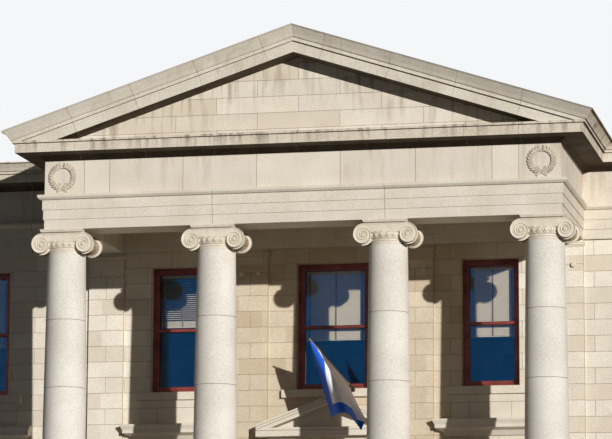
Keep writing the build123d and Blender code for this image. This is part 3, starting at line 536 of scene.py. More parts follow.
roof_covering = roof_finish("felt_roof_covering", 8.0, 1.0, 0.12)
roof_sheets = roof_finish("standing_seam_sheets", 30.0, 3.0, 0.04)
red_joinery = joinery_finish("red_brown_joinery", tint(132, 62, 55), tint(72, 34, 30))
painted_sky_glass = glass_finish()
blind_slats = blind_finish("cream_blind_slats", tint(250, 236, 204), tint(236, 220, 186))
blind_tape = blind_finish("brown_blind_tape", tint(158, 134, 108), tint(132, 110, 86))
dark_bronze = metal_finish("dark_bronze", tint(96, 76, 54), tint(52, 44, 36), 0.8)
old_brass = metal_finish("old_brass", tint(190, 150, 84), tint(120, 92, 52), 1.0)
varnished_pole = pole_finish()
flag_cloth = flag_finish()

# The solids that show; the others are hidden behind the pieces that stand for them
NODE_FINISHES = {
    "ground_floor": inner_slab, "upper_floor": inner_slab, "roof_slab": roof_covering,
    "portico_roof_left": roof_sheets, "portico_roof_right": roof_sheets,
    "door_transom_glass": painted_sky_glass, "front_window_glass": painted_sky_glass,
    "side_window_glass": painted_sky_glass, "rear_window_glass": painted_sky_glass,
}

for node_name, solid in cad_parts.items():
    solid.data.materials.clear()
    solid.data.materials.append(NODE_FINISHES.get(node_name, carved_stone))


# Modelling tools
def only(piece):
    """Leave just this piece selected and active."""
    bpy.ops.object.select_all(action="DESELECT")
    piece.select_set(True)
    bpy.context.view_layer.objects.active = piece


def edit(piece):
    only(piece)
    bpy.ops.object.mode_set(mode="EDIT")


def done():
    bpy.ops.object.mode_set(mode="OBJECT")


def pick(piece, kind, wanted):
    """Select just the vertices, edges or faces that pass a test; the piece is in edit mode."""
    mesh = bmesh.from_edit_mesh(piece.data)
    bpy.ops.mesh.select_mode(type={"verts": "VERT", "edges": "EDGE", "faces": "FACE"}[kind])
    for group in (mesh.faces, mesh.edges, mesh.verts):
        for part in group:
            part.select = False
    for part in getattr(mesh, kind):
        if wanted(part):
            part.select_set(True)
    bmesh.update_edit_mesh(piece.data)


def shift(piece, wanted, move):
    """Move the vertices that pass a test."""
    pick(piece, "verts", wanted)
    bpy.ops.transform.translate(value=move)


def mark(piece, slot):
    """Give the picked faces another of the piece's finishes."""
    mesh = bmesh.from_edit_mesh(piece.data)
    for face in mesh.faces:
        if face.select:
            face.material_index = slot


def cut_through(place, way):
    """Cut the whole piece in edit mode at a place, square to a way."""
    bpy.ops.mesh.select_all(action="SELECT")
    bpy.ops.mesh.bisect(plane_co=place, plane_no=way)


def new_object(name, data):
    thing = bpy.data.objects.new(name, data)
    bpy.context.scene.collection.objects.link(thing)
    return thing


def settle(piece):
    """Bring a finished piece's place, turn and size into its mesh."""
    only(piece)
    bpy.ops.object.transform_apply(location=True, rotation=True, scale=True)
    return piece


def blank(primitive, stretched=None, **how):
    """A new primitive to work on, stretched if asked, with nothing else selected."""
    bpy.ops.object.select_all(action="DESELECT")
    primitive(**how)
    if stretched:
        bpy.ops.transform.resize(value=stretched)
    return bpy.context.object


def modified(piece, kind, **settings):
    """Give a piece one modifier and apply it."""
    only(piece)
    modifier = piece.modifiers.new("work", kind)
    for label, value in settings.items():
        setattr(modifier, label, value)
    bpy.ops.object.modifier_apply(modifier=modifier.name)
    return piece


def bevelled(piece, width, segments=2, angle=30):
    return modified(
        piece, "BEVEL", width=width, segments=segments, limit_method="ANGLE", angle_limit=radians(angle))


def repeated(piece, count, move):
    return modified(piece, "ARRAY", count=count, use_relative_offset=False, use_constant_offset=True,
                    constant_offset_displace=move)


def drawn_line(name, points):
    """A chain of vertices through the points, drawn by extruding one vertex; left in edit mode."""
    line = blank(bpy.ops.mesh.primitive_plane_add, size=0.01, location=points[0])
    line.name = name
    bpy.ops.object.mode_set(mode="EDIT")
    bpy.ops.mesh.select_mode(type="VERT")
    bpy.ops.mesh.select_all(action="SELECT")
    bpy.ops.mesh.merge(type="CENTER")
    for start, end in zip(points, points[1:]):
        step = Vector(end) - Vector(start)
        bpy.ops.mesh.extrude_vertices_move(TRANSFORM_OT_translate={"value": step})
    return line


def tidy_mesh(smooth_angle=35):
    """Merge doubles and turn all faces outwards, then smooth the gentle edges."""
    bpy.ops.mesh.select_all(action="SELECT")
    bpy.ops.mesh.remove_doubles(threshold=0.0002)
    bpy.ops.mesh.normals_make_consistent(inside=False)
    done()
    bpy.ops.object.shade_smooth_by_angle(angle=radians(smooth_angle))


def spun(name, profile, sides, place=(0, 0, 0), axis=(0, 0, 1)):
    """A turned piece: (radius, height) points spun round an axis that runs up, or back along Y."""
    x, y, z = place
    piece = drawn_line(name, [(x + r, y, z + h) if axis[2] else (x + r, y + h, z) for r, h in profile])
    bpy.ops.mesh.select_all(action="SELECT")
    bpy.ops.mesh.spin(steps=sides, angle=2 * pi, center=place, axis=axis)
    tidy_mesh()
    return settle(piece)


def joined(name, pieces):
    bpy.ops.object.select_all(action="DESELECT")
    for piece in pieces:
        piece.select_set(True)
    bpy.context.view_layer.objects.active = pieces[0]
    if len(pieces) > 1:
        bpy.ops.object.join()
    pieces[0].name = name
    return settle(pieces[0])


def copied(piece, name, place=Matrix()):
    """A copy with its own mesh, moved or turned in its mesh."""
    twin = piece.copy()
    twin.data = piece.data.copy()
    twin.name = name
    bpy.context.scene.collection.objects.link(twin)
    twin.data.transform(place)
    return twin


def mirrored(piece, name, axis, middle):
    """A mirror image across a plane, kept as its own piece."""
    twin = copied(piece, name)
    edit(twin)
    bpy.ops.mesh.select_all(action="SELECT")
    side = {"X": (-1, 1, 1), "Y": (1, -1, 1)}[axis]
    centre = {"X": (middle, 0, 0), "Y": (0, middle, 0)}[axis]
    bpy.ops.transform.resize(value=side, center_override=centre)
    bpy.ops.mesh.normals_make_consistent(inside=False)
    done()
    return twin


def dressed(piece, finish, slot, *nodes, joints=None):
    """Give a finished piece its material, let it ride, and hide the solids it stands for."""
    slots = piece.data.materials
    if slots:
        slots[0] = finish
    else:
        slots.append(finish)
    if joints:
        slots.append(joints)
    if nodes:
        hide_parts(*nodes)
    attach(piece, "root")
    return piece


def stone_block(name, low, high, bevel=0.006):
    """A squared block between two corners, with its arrises taken off."""
    low, high = Vector(low), Vector(high)
    block = settle(blank(bpy.ops.mesh.primitive_cube_add, size=1, location=(low + high) / 2, scale=high - low))
    block.name = name
    return bevelled(block, bevel) if bevel else block


def for_every_column(first, name, finish, node, joints=None):
    """Dress a piece made on the first column, and its copies on the other three."""
    dressed(first, finish, "column_stone", node, joints=joints)
    for number, x in enumerate(COLUMN_XS[1:], 2):
        twin = copied(first, f"{name}_{number}", Matrix.Translation((x - COLUMN_XS[0], 0, 0)))
        dressed(twin, finish, "column_stone", node)


# Column shaft: unfluted, of drums, with a slight swelling
def shaft_radius(z):
    """Full girth for the lower third, then a smooth curve in to the neck."""
    risen = (z - SHAFT_FOOT_Z) / (NECK_Z - SHAFT_FOOT_Z)
    narrowing = max(0, (risen - SHAFT_STRAIGHT_PART) / (1 - SHAFT_STRAIGHT_PART))
    return SHAFT_RADIUS - (SHAFT_RADIUS - NECK_RADIUS) * narrowing ** SHAFT_SWELL


def shaft_profile():
    levels = [SHAFT_FOOT_Z + k * (NECK_Z - SHAFT_FOOT_Z) / SHAFT_ROWS for k in range(SHAFT_ROWS + 1)]
    points = [(shaft_radius(z), z) for z in levels]
    for z in DRUM_JOINTS:
        for rise, sink in ((-1, 0), (0, 1), (1, 0)):
            points.append((shaft_radius(z) - sink * DRUM_JOINT, z + rise * DRUM_JOINT))
    points.sort(key=lambda point: point[1])
    flare = SHAFT_FLARE
    foot = [(0, SHAFT_FOOT_Z), (SHAFT_RADIUS + flare, SHAFT_FOOT_Z), (SHAFT_RADIUS + flare, SHAFT_FOOT_Z + flare),
            (SHAFT_RADIUS + 0.3 * flare, SHAFT_FOOT_Z + 2 * flare)]
    return foot + points[1:] + [(0, NECK_Z)]


def make_shafts():
    first = spun("column_shaft_1", shaft_profile(), ROUND_SIDES, (COLUMN_XS[0], COLUMN_Y, 0))
    edit(first)
    pick(first, "faces", lambda face: any(abs(face.calc_center_median().z - z) < DRUM_JOINT for z in DRUM_JOINTS))
    mark(first, 1)
    done()
    for_every_column(first, "column_shaft", column_stone, "column_shafts", joint_mortar)


# Column base: plinth, lower round, hollow and upper round
def half_round(reach, foot, radius, first, last):
    """Stations of a round moulding, from its foot at -90 degrees up to 90 degrees in eighths."""
    turns = [-pi / 2 + k * pi / 8 for k in range(first, last)]
    return [(reach - radius + radius * cos(turn), foot + radius * (1 + sin(turn))) for turn in turns]


def base_profile():
    """Rounds and hollow as arcs, from the plinth up to the shaft."""
    hollow_foot = PLINTH_TOP_Z + 2 * LOWER_ROUND
    hollow_low = hollow_foot + BASE_FILLET
    upper_foot = SHAFT_FOOT_Z - 2 * UPPER_ROUND
    hollow = [(HOLLOW_REACH - HOLLOW_DEPTH * sin(pi * k / 8), hollow_low + HOLLOW_RISE * (1 - cos(pi * k / 8)) / 2)
              for k in range(1, 8)]
    return [(0, PLINTH_TOP_Z), *half_round(LOWER_ROUND_REACH, PLINTH_TOP_Z, LOWER_ROUND, 0, 9),
            (HOLLOW_REACH, hollow_foot), (HOLLOW_REACH, hollow_low), *hollow,
            (HOLLOW_REACH - HOLLOW_SETBACK, hollow_low + HOLLOW_RISE), (HOLLOW_REACH - HOLLOW_SETBACK, upper_foot),
            *half_round(UPPER_ROUND_REACH, upper_foot, UPPER_ROUND, 1, 8),
            (UPPER_ROUND_REACH - UPPER_ROUND, SHAFT_FOOT_Z), (0, SHAFT_FOOT_Z)]


def make_bases():
    x = COLUMN_XS[0]
    rounds = spun("column_base_1", base_profile(), ROUND_SIDES, (x, COLUMN_Y, 0))
    low = (x - PLINTH_HALF, COLUMN_Y - PLINTH_HALF, PORCH_Z)
    high = (x + PLINTH_HALF, COLUMN_Y + PLINTH_HALF, PLINTH_TOP_Z)
    first = joined("column_base_1", [rounds, stone_block("plinth", low, high, 0.008)])
    for_every_column(first, "column_base", column_stone, "column_bases")


# Ionic capital, built on the first column and copied
def volute_section():
    """Section across the scroll, as (share of the outer radius, depth behind the face)."""
    return [(1.0, VOLUTE_PLATE), (1.0, 0.009), (0.99, 0.002), (0.965, 0.0), (0.945, 0.002), (0.935, 0.011),
            (0.90, 0.015), (0.80, 0.019), (0.70, 0.018), (0.63, 0.016), (0.60, 0.02), (VOLUTE_SHRINK, 0.022)]


def channel_height(share):
    """How much taller the sagging channel is than the scroll, at a share of the way out to the eye."""
    return 1 + CHANNEL_SAG / ((1 - VOLUTE_SHRINK) * VOLUTE_RADIUS) * (1 - share ** 4)


def volute_strip(axis_x):
    """Right half of the front scroll: a sagging channel from the middle, then round and in to the eye."""
    eye = Vector((axis_x + EYE_OUT, COLUMN_Y - CAPITAL_HALF, EYE_Z))
    rim = Vector((axis_x, eye.y, EYE_Z + VOLUTE_RADIUS))
    points = [(axis_x, rim.y + depth, rim.z - (1 - share) * VOLUTE_RADIUS * channel_height(0))
              for share, depth in volute_section()]
    strip = drawn_line("volutes", points)
    bpy.ops.mesh.select_all(action="SELECT")
    for step in range(CHANNEL_STEPS):
        bpy.ops.mesh.extrude_region_move(TRANSFORM_OT_translate={"value": (EYE_OUT / CHANNEL_STEPS, 0, 0)})
        taller = channel_height((step + 1) / CHANNEL_STEPS) / channel_height(step / CHANNEL_STEPS)
        bpy.ops.transform.resize(value=(1, 1, taller), center_override=rim)
    shrink = VOLUTE_SHRINK ** (1 / VOLUTE_STEPS)
    for step in range(round(VOLUTE_TURNS * VOLUTE_STEPS)):
        bpy.ops.mesh.extrude_region_move(TRANSFORM_OT_translate={"value": (0, 0, 0)})
        bpy.ops.transform.rotate(value=VOLUTE_WAY * 2 * pi / VOLUTE_STEPS, orient_axis="Y", center_override=eye)
        bpy.ops.transform.resize(value=(shrink, 1, shrink), center_override=eye)
    tidy_mesh(40)
    return settle(strip)


def smooth_ball(stretched, segments, rings, radius, place):
    ball = blank(bpy.ops.mesh.primitive_uv_sphere_add, stretched, segments=segments, ring_count=rings,
                 radius=radius, location=place)
    bpy.ops.object.shade_smooth()
    return settle(ball)


def bolster_profile():
    """Half of the roll between two scrolls, then its mirror: a belt of three beads at the middle."""
    half = [(0.0, -0.30), (0.215, -0.30), (0.205, -0.285), (0.172, -0.262), (0.146, -0.225), (0.130, -0.18),
            (0.121, -0.125), (0.120, -0.085), (0.140, -0.075), (0.147, -0.060), (0.140, -0.045), (0.136, -0.038),
            (0.150, -0.026), (0.155, 0.0)]
    return half + [(radius, -along) for radius, along in half[-2::-1]]


def echinus_profile():
    """Neck, fillet, bead course and the round under the scrolls, measured down from the architrave."""
    return [(0, -CAPITAL_HEIGHT), (NECK_RADIUS + 0.008, -CAPITAL_HEIGHT), (0.414, -0.516), (0.409, -0.510),
            (0.407, -0.47), (0.410, -0.456), (0.420, -0.452), (0.422, -0.444), (0.414, -0.438), (0.405, -0.43),
            (0.407, -0.412), (0.416, -0.404), (0.424, -0.402), (0.424, -0.374), (0.420, -0.372), (0.426, -0.355),
            (0.436, -0.33), (0.441, -0.305), (0.438, -0.285), (0.428, -0.272), (0, -0.262)]


def egg(axis):
    """One egg in its shell, with half a dart beside it, on the round."""
    x, y, z = axis.x, axis.y - EGG_REACH, EGG_Z
    core = blank(bpy.ops.mesh.primitive_uv_sphere_add, (1, 0.75, 1.4), segments=12, ring_count=8, radius=0.034,
                 location=(x, y, z))
    shell = blank(bpy.ops.mesh.primitive_torus_add, (1, 1, 1.4), major_radius=0.046, minor_radius=0.0085,
                  major_segments=20, minor_segments=6, location=(x, y, z), rotation=(pi / 2, 0, 0))
    dart = blank(bpy.ops.mesh.primitive_cone_add, vertices=4, radius1=0.012, depth=0.11,
                 location=(x + EGG_PITCH_WIDTH / 2, y + 0.006, z - 0.01), rotation=(pi, 0, 0))
    piece = joined("egg", [core, shell, dart])
    bpy.ops.object.shade_smooth_by_angle(angle=radians(50))
    return piece


def ring_of(piece, count, axis, name, start=0.0):
    """A piece copied evenly round a column's axis and joined."""
    ring = []
    for k in range(count):
        turn = Matrix.Translation(axis) @ Matrix.Rotation(start + 2 * pi * k / count, 4, "Z")
        ring.append(copied(piece, name, turn @ Matrix.Translation(-axis)))
    bpy.data.objects.remove(piece)
    return joined(name, ring)


def abacus(axis_x):
    """A square slab with a fillet above and a round moulding below."""
    half = ABACUS_HALF
    low = ARCHITRAVE_Z - ABACUS_HEIGHT
    upper = stone_block("abacus", (axis_x - half, COLUMN_Y - half, ARCHITRAVE_Z - 0.032),
                        (axis_x + half, COLUMN_Y + half, ARCHITRAVE_Z), 0.004)
    half -= 0.01
    lower = stone_block("abacus_round", (axis_x - half, COLUMN_Y - half, low),
                        (axis_x + half, COLUMN_Y + half, ARCHITRAVE_Z - 0.03), 0)
    edit(lower)
    pick(lower, "edges", lambda edge: all(abs(v.co.z - low) < 0.001 for v in edge.verts))
    bpy.ops.mesh.bevel(offset=0.036, segments=6, affect="EDGES")
    done()
    bpy.ops.object.shade_smooth_by_angle(angle=radians(35))
    return [upper, lower]


def on_bolster(place, axis_x):
    """True for the rolls at the two sides of a capital, which the rain stains brown."""
    return (abs(place.x - axis_x) > 0.3 and abs(place.y - COLUMN_Y) < 0.27
            and EYE_Z - VOLUTE_RADIUS < place.z < EYE_Z + VOLUTE_RADIUS - 0.02)


def make_capitals():
    x = COLUMN_XS[0]
    axis = Vector((x, COLUMN_Y, 0))
    eye = smooth_ball((1, 0.4, 1), 20, 12, EYE_RADIUS, (x + EYE_OUT, COLUMN_Y - CAPITAL_HALF + 0.012, EYE_Z))
    right_front = joined("right_front", [volute_strip(x), eye])
    right_rear = mirrored(right_front, "right_rear", "Y", COLUMN_Y)
    roll = spun("roll", bolster_profile(), 40, (x + EYE_OUT, COLUMN_Y, EYE_Z), (0, 1, 0))
    right = joined("right_scrolls", [right_front, right_rear, roll])
    left = mirrored(right, "left_scrolls", "X", x)
    low = (x - NECK_RADIUS, COLUMN_Y - CAPITAL_HALF + 0.034, ARCHITRAVE_Z - 0.272)
    high = (x + NECK_RADIUS, COLUMN_Y + CAPITAL_HALF - 0.034, ARCHITRAVE_Z - ABACUS_HEIGHT + 0.004)
    core = stone_block("core", low, high, 0)
    rounds = spun("rounds", echinus_profile(), ROUND_SIDES, (x, COLUMN_Y, ARCHITRAVE_Z))
    eggs = ring_of(egg(axis), EGG_COUNT, axis, "eggs", pi / EGG_COUNT)
    bead = smooth_ball((1.25, 1, 1), 8, 6, 0.0135, (x, COLUMN_Y - BEAD_REACH, BEAD_Z))
    beads = ring_of(bead, BEAD_COUNT, axis, "beads")
    first = joined("column_capital_1", [right, left, core, rounds, eggs, beads, *abacus(x)])
    edit(first)
    pick(first, "faces", lambda face: on_bolster(face.calc_center_median(), x))
    mark(first, 1)
    done()
    for_every_column(first, "column_capital", capital_stone, "column_capitals", bolster_stone)


make_shafts()
make_bases()
make_capitals()


# Masonry: stones cut in the faces of the building's own solids
def merge_flat(piece):
    """Merge loose triangles into whole flat faces."""
    edit(piece)
    bpy.ops.mesh.select_all(action="SELECT")
    bpy.ops.mesh.remove_doubles(threshold=0.0001)
    bpy.ops.mesh.dissolve_limited(angle_limit=radians(0.5))
    done()


def solid_copy(node, name):
    """A node's shape as a piece of its own, with whole flat faces."""
    piece = new_object(name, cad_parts[node].data.copy())
    merge_flat(piece)
    bpy.ops.mesh.customdata_custom_splitnormals_clear()
    bpy.ops.object.shade_flat()
    return piece


def near(value, places):
    return any(abs(value - place) < SAME_PLACE for place in places)


def course_number(level, beds):
    return sum(1 for bed in beds if bed < level)


def lay_stones(piece, facing, beds, uprights, up=UP):
    """Cut the faces that look one way into stones and sink the joints between them.
    beds are levels along up; uprights lists the places of the upright joints, course by course, in turn."""
    along = up.cross(facing)
    edit(piece)

    def in_face(face):
        return face.normal.dot(facing) > 0.999

    def course_turn(level):
        return course_number(level, beds) % len(uprights)

    for bed in beds:
        pick(piece, "faces", in_face)
        bpy.ops.mesh.bisect(plane_co=up * bed, plane_no=up)
    for phase, places in enumerate(uprights):
        for place in places:
            pick(piece, "faces", lambda face: in_face(face) and course_turn(
                face.calc_center_median().dot(up)) == phase)
            bpy.ops.mesh.bisect(plane_co=along * place, plane_no=along)

    def left_over(edge):
        if len(edge.link_faces) != 2 or not all(in_face(face) for face in edge.link_faces):
            return False
        first, last = (vert.co for vert in edge.verts)
        level = (first + last).dot(up) / 2
        if abs((first - last).dot(up)) < SAME_PLACE and near(level, beds):
            return False
        upright = abs((first - last).dot(along)) < SAME_PLACE
        return not (upright and near(first.dot(along), uprights[course_turn(level)]))

    pick(piece, "edges", left_over)
    bpy.ops.mesh.dissolve_edges(use_verts=True)
    pick(piece, "faces", in_face)
    bpy.ops.mesh.inset(thickness=JOINT_HALF_WIDTH, use_individual=True)
    mesh = bmesh.from_edit_mesh(piece.data)
    fields = {face.index for face in mesh.faces if face.select}
    kept = {vert.index for face in mesh.faces if face.select for vert in face.verts}
    rims = {face.index for face in mesh.faces if in_face(face) and face.index not in fields}
    sunk = {vert.index for face in mesh.faces if face.index in rims for vert in face.verts} - kept
    for face in mesh.faces:
        if face.index in rims:
            face.material_index = 1
    shift(piece, lambda vert: vert.index in sunk, -JOINT_DEPTH * facing)
    done()


def saw_joints(piece, places, across, half_width=JOINT_HALF_WIDTH):
    """Cut narrow V grooves round a moulding where its stones meet, at places measured along across."""
    edit(piece)
    for place in places:
        for offset in (-half_width, 0, half_width):
            cut_through(across * (place + offset), across)
        pick(piece, "verts", lambda vert: abs(vert.co.dot(across) - place) < SAME_PLACE)
        bpy.ops.transform.shrink_fatten(value=-JOINT_DEPTH)
        pick(piece, "faces", lambda face: all(
            abs(vert.co.dot(across) - place) < half_width + SAME_PLACE for vert in face.verts))
        mark(piece, 1)
    done()


def finish_faces(piece, finish, wanted):
    """Give some faces of a dressed piece a finish of their own, but not its joints."""
    piece.data.materials.append(finish)
    edit(piece)
    pick(piece, "faces", lambda face: face.material_index == 0 and wanted(face))
    mark(piece, len(piece.data.materials) - 1)
    done()


def looks_down(face):
    """Undersides, and the bed moulding under the level corona, but not the gutter moulding's face: the faces that get
    the painted shade.
    """
    return face.normal.z < (-0.3 if face.calc_center_median().z < SIMA_LEVEL - 0.1 else -0.85)


def sima_reach(height):
    """How far the gutter moulding of the solids stands out at a height above its foot."""
    for (low, out), (high, far) in zip(SIMA_CURVE, SIMA_CURVE[1:]):
        if height <= high:
            return out + (far - out) * (height - low) / (high - low)


def undercut_sima(piece, low, high):
    """Give the level gutter moulding a step at its foot and a lip at its top, with a steeper face between."""
    edit(piece)
    for height in SIMA_CUTS:
        cut_through(UP * (SIMA_LEVEL + height), UP)
    for height, out in SIMA_ROWS:
        for facing, edge in ((-OUT_Y, -low.y), (OUT_X, high.x), (-OUT_X, high.x), (OUT_Y, high.y)):
            reach = edge - SIMA_CURVE[-1][1] + sima_reach(height)
            shift(piece, lambda vert: abs(vert.co.z - SIMA_LEVEL - height) < SAME_PLACE
                  and abs(vert.co.dot(facing) - reach) < SAME_ROW, (out - sima_reach(height)) * facing)
    done()


def undercut_raking_sima(piece, side):
    """The same steps on a sloping cornice, kept in line with the level one at the corner mitre."""
    rise = Vector((side * PEDIMENT_SLOPE, 0, 1))
    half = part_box("portico_cornice")[1].x - SIMA_CURVE[-1][1]

    def row_level(height):
        return SIMA_LEVEL + height + PEDIMENT_SLOPE * (half + sima_reach(height))

    edit(piece)
    for height in SIMA_CUTS:
        cut_through(UP * row_level(height), rise)
    for height, out in SIMA_ROWS:
        reach = sima_reach(height)
        further = out - reach

        def in_row(vert):
            return abs(vert.co.dot(rise) - row_level(height)) < SAME_ROW and abs(-vert.co.y - reach) < SAME_ROW

        def at_mitre(vert):
            return abs(vert.co.x * side - half - reach) < SAME_ROW

        shift(piece, lambda vert: in_row(vert) and at_mitre(vert), (side * further, -further, 0))
        shift(piece, lambda vert: in_row(vert) and not at_mitre(vert), (0, -further, PEDIMENT_SLOPE * further))
    done()


def square_taenia(piece, level, face_y, face_x):
    """Bring the chamfer below the architrave's top band forward, so that the band stands nearly upright."""
    edit(piece)
    level += TAENIA_LIP
    cut_through(UP * level, UP)
    for facing, reach in ((-OUT_Y, -face_y), (OUT_X, face_x), (-OUT_X, face_x)):
        shift(piece, lambda vert: abs(vert.co.z - level) < SAME_PLACE and vert.co.dot(facing) > reach + 0.005,
              TAENIA_SHIFT * facing)
    done()


def steps(first, last, pitch):
    """Even places from first up to last."""
    count = int((last - first) / pitch + 0.5)
    return [first + k * pitch for k in range(count + 1)]


def stone_lengths(half, pitch):
    """Joints of even and odd courses, about the middle of a face."""
    count = int(half / pitch) + 1
    return [[k * pitch for k in range(-count, count + 1)], [(k + 0.5) * pitch for k in range(-count, count)]]


WALL_BEDS = steps(PORCH_Z + COURSE, ARCHITRAVE_Z - 0.1, COURSE)


def stones_of(node, name, finish, facings, beds, uprights, up=UP, edges=0.0):
    """A node's own shape laid in stones on the sides that it shows, with its arrises worn."""
    piece = solid_copy(node, name)
    for facing in facings:
        lay_stones(piece, facing, beds, uprights, up)
    if edges:
        bevelled(piece, edges, 1)
    dressed(piece, finish, "wall_stone", node, joints=joint_mortar)


def front_masonry():
    """The three front walls as one run of masonry, with no seam where they meet."""
    run = solid_copy("front_wall_left", "stones_of_front_wall")
    for node in ("front_wall_over_door", "front_wall_right"):
        part = solid_copy(node, "part_of_front_wall")
        modified(run, "BOOLEAN", operation="UNION", solver="EXACT", object=part)
        bpy.data.objects.remove(part)
    merge_flat(run)
    return run


def make_block_walls():
    even, odd = uprights = stone_lengths(REAR_Y, STONE)
    front = front_masonry()
    front_uprights = [[x for x in even if abs(x) != STONE], odd]
    for facing, places in ((-OUT_Y, front_uprights), (OUT_X, uprights), (-OUT_X, uprights)):
        lay_stones(front, facing, WALL_BEDS, places)
    dressed(front, front_wall_stone, "wall_stone", "front_wall_left", "front_wall_over_door", "front_wall_right",
            joints=joint_mortar)
    for node, facings, finish in (("rear_wall", (OUT_Y, OUT_X, -OUT_X), wall_stone),
                                  ("left_wall", (-OUT_X,), side_wall_stone),
                                  ("right_wall", (OUT_X,), side_wall_stone)):
        stones_of(node, "stones_of_" + node, finish, facings, WALL_BEDS, uprights)


def make_base_stones():
    beds = steps(BASE_COURSE, PORCH_Z - 0.1, BASE_COURSE)
    for node in ("base_walls", "porch_podium", "step_cheeks"):
        stones_of(node, "stones_of_" + node, base_stone, (-OUT_Y, OUT_Y, -OUT_X, OUT_X), beds,
                  stone_lengths(REAR_Y, BASE_STONE))


def make_gable_stones():
    beds = steps(GABLE_FIRST_BED, GABLE_FIRST_BED + 4 * COURSE, COURSE)
    stones_of("tympanum", "gable_stones", gable_stone, (-OUT_Y,), beds, stone_lengths(6, GABLE_STONE))


def make_mouldings():
    long_run = [side * place for side in (-1, 1) for place in MAIN_JOINTS]
    for node, finish, xs, ys in (
            ("portico_frieze", frieze_stone, FRIEZE_JOINTS, (1.3, 2.6)),
            ("portico_cornice", corona_stone, CORONA_JOINTS, (0.6, 2.2)),
            ("portico_architrave", carved_stone, (COLUMN_XS[1], COLUMN_XS[2]), (1.9,)),
            ("main_architrave", carved_stone, long_run, MAIN_DEPTH_JOINTS),
            ("main_frieze", frieze_stone, long_run, MAIN_DEPTH_JOINTS),
            ("main_cornice", cornice_stone, long_run, MAIN_DEPTH_JOINTS)):
        piece = solid_copy(node, "stones_of_" + node)
        low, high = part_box(node)
        if "cornice" in node:
            undercut_sima(piece, low, high)
        saw_joints(piece, xs, OUT_X)
        saw_joints(piece, ys, OUT_Y)
        if "architrave" in node:
            square_taenia(piece, high.z - TAENIA_HEIGHT, low.y + TAENIA_REACH, high.x - TAENIA_REACH)
        bevelled(piece, WORN_EDGE, 1, 25)
        dressed(piece, finish, "wall_stone", node, joints=joint_mortar)
        # Painted shade: the cornices' undersides get the dark underside stone.
        if "cornice" in node:
            finish_faces(piece, painted_shade_underside, looks_down)
        if node == "portico_frieze":
            finish_faces(piece, pale_frieze_stone, lambda face: face.normal.y < -0.9 and (
                abs(face.calc_center_median().x) < FRIEZE_JOINTS[4]
                or FRIEZE_JOINTS[6] < abs(face.calc_center_median().x) < FRIEZE_JOINTS[7]))


def make_rakes():
    for node, side in (("raking_cornice_left", -1), ("raking_cornice_right", 1)):
        piece = solid_copy(node, "stones_of_" + node)
        undercut_raking_sima(piece, side)
        across = Vector((side, 0, -PEDIMENT_SLOPE)).normalized()
        apex = Vector((0, 0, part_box(node)[1].z))
        places = [(apex + across * place * (1 + PEDIMENT_SLOPE ** 2) ** 0.5).dot(across) for place in RAKE_JOINTS]
        saw_joints(piece, places, across)
        dressed(piece, rake_stone, "wall_stone", node, joints=joint_mortar)
        # Painted shade: the rake's undersides get the dark underside stone.
        finish_faces(piece, painted_shade_underside, looks_down)


def make_door_hood():
    """The small pediment over the door, a little shorter than its solid and with grooves along its mouldings."""
    hood = solid_copy("door_hood", "moulded_door_hood")
    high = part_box("door_hood")[1]
    lower_edge = high.z - DOOR_HOOD_SLOPE * high.x
    edit(hood)
    for side in (-1, 1):
        shift(hood, lambda vert: vert.co.x * side > 1.5, (-side * DOOR_HOOD_TRIM, 0, 0))
        shift(hood, lambda vert: vert.co.x * side > 1.3 and abs(vert.co.z - lower_edge) < 0.003,
              (0, 0, DOOR_HOOD_SLOPE * DOOR_HOOD_TRIM))
    done()
    for side in (-1, 1):
        slope = Vector((side * DOOR_HOOD_SLOPE, 0, 1)).normalized()
        saw_joints(hood, [(UP * (high.z - drop)).dot(slope) for drop in (0.11, 0.05)], slope, HOOD_GROOVE)
    saw_joints(hood, [lower_edge - 0.06], UP, HOOD_GROOVE)
    bevelled(hood, WORN_EDGE, 1)
    dressed(hood, carved_stone, "wall_stone", "door_hood", joints=joint_mortar)


def make_small_stones():
    """Sills, hoods, door surround and pilasters: the solids with their arrises softened."""
    apron_beds = [bed for bed in WALL_BEDS if UPPER_SILL - 0.75 < bed < UPPER_SILL - 0.18]
    apron_joints = [side * x + out for side in (-1, 1) for x, out in (
        (SIDE_WINDOW_X, -APRON_JOINT), (SIDE_WINDOW_X, APRON_JOINT), (END_WINDOW_X, 0.0))]
    stones_of("front_window_sills", "stones_of_window_sills", carved_stone, (-OUT_Y,), apron_beds,
              [[], apron_joints], edges=WORN_EDGE)
    make_door_hood()
    for node, width in (("other_window_sills", 0.006), ("window_hoods", 0.005),
                        ("door_surround", 0.006), ("portico_roof_upstand", 0.01)):
        dressed(bevelled(solid_copy(node, "worn_" + node), width), carved_stone, "wall_stone", node)
    pilaster_beds = steps(PORCH_Z + 2 * COURSE, ARCHITRAVE_Z - 3 * COURSE, COURSE) + [PILASTER_NECK_Z]
    stones_of("pilasters", "stones_of_pilasters", front_wall_stone, (-OUT_Y,), pilaster_beds,
              [list(COLUMN_XS), []], edges=WORN_EDGE)


def make_porch_stones():
    stones_of("porch_floor", "paving_of_porch", paving_stone, (UP,), steps(PAVING / 2, 3.4, PAVING),
              stone_lengths(6, PAVING), OUT_Y, edges=0.005)
    flight = bevelled(solid_copy("entrance_steps", "stones_of_steps"), 0.012)
    saw_joints(flight, STEP_JOINTS, OUT_X)
    dressed(flight, paving_stone, "wall_stone", "entrance_steps", joints=joint_mortar)


# Joinery and glazing
def make_frames():
    for node in ("front_window_frames", "side_window_frames", "rear_window_frames", "door_frame"):
        dressed(bevelled(solid_copy(node, "painted_" + node), 0.012), red_joinery, "painted_joinery", node)


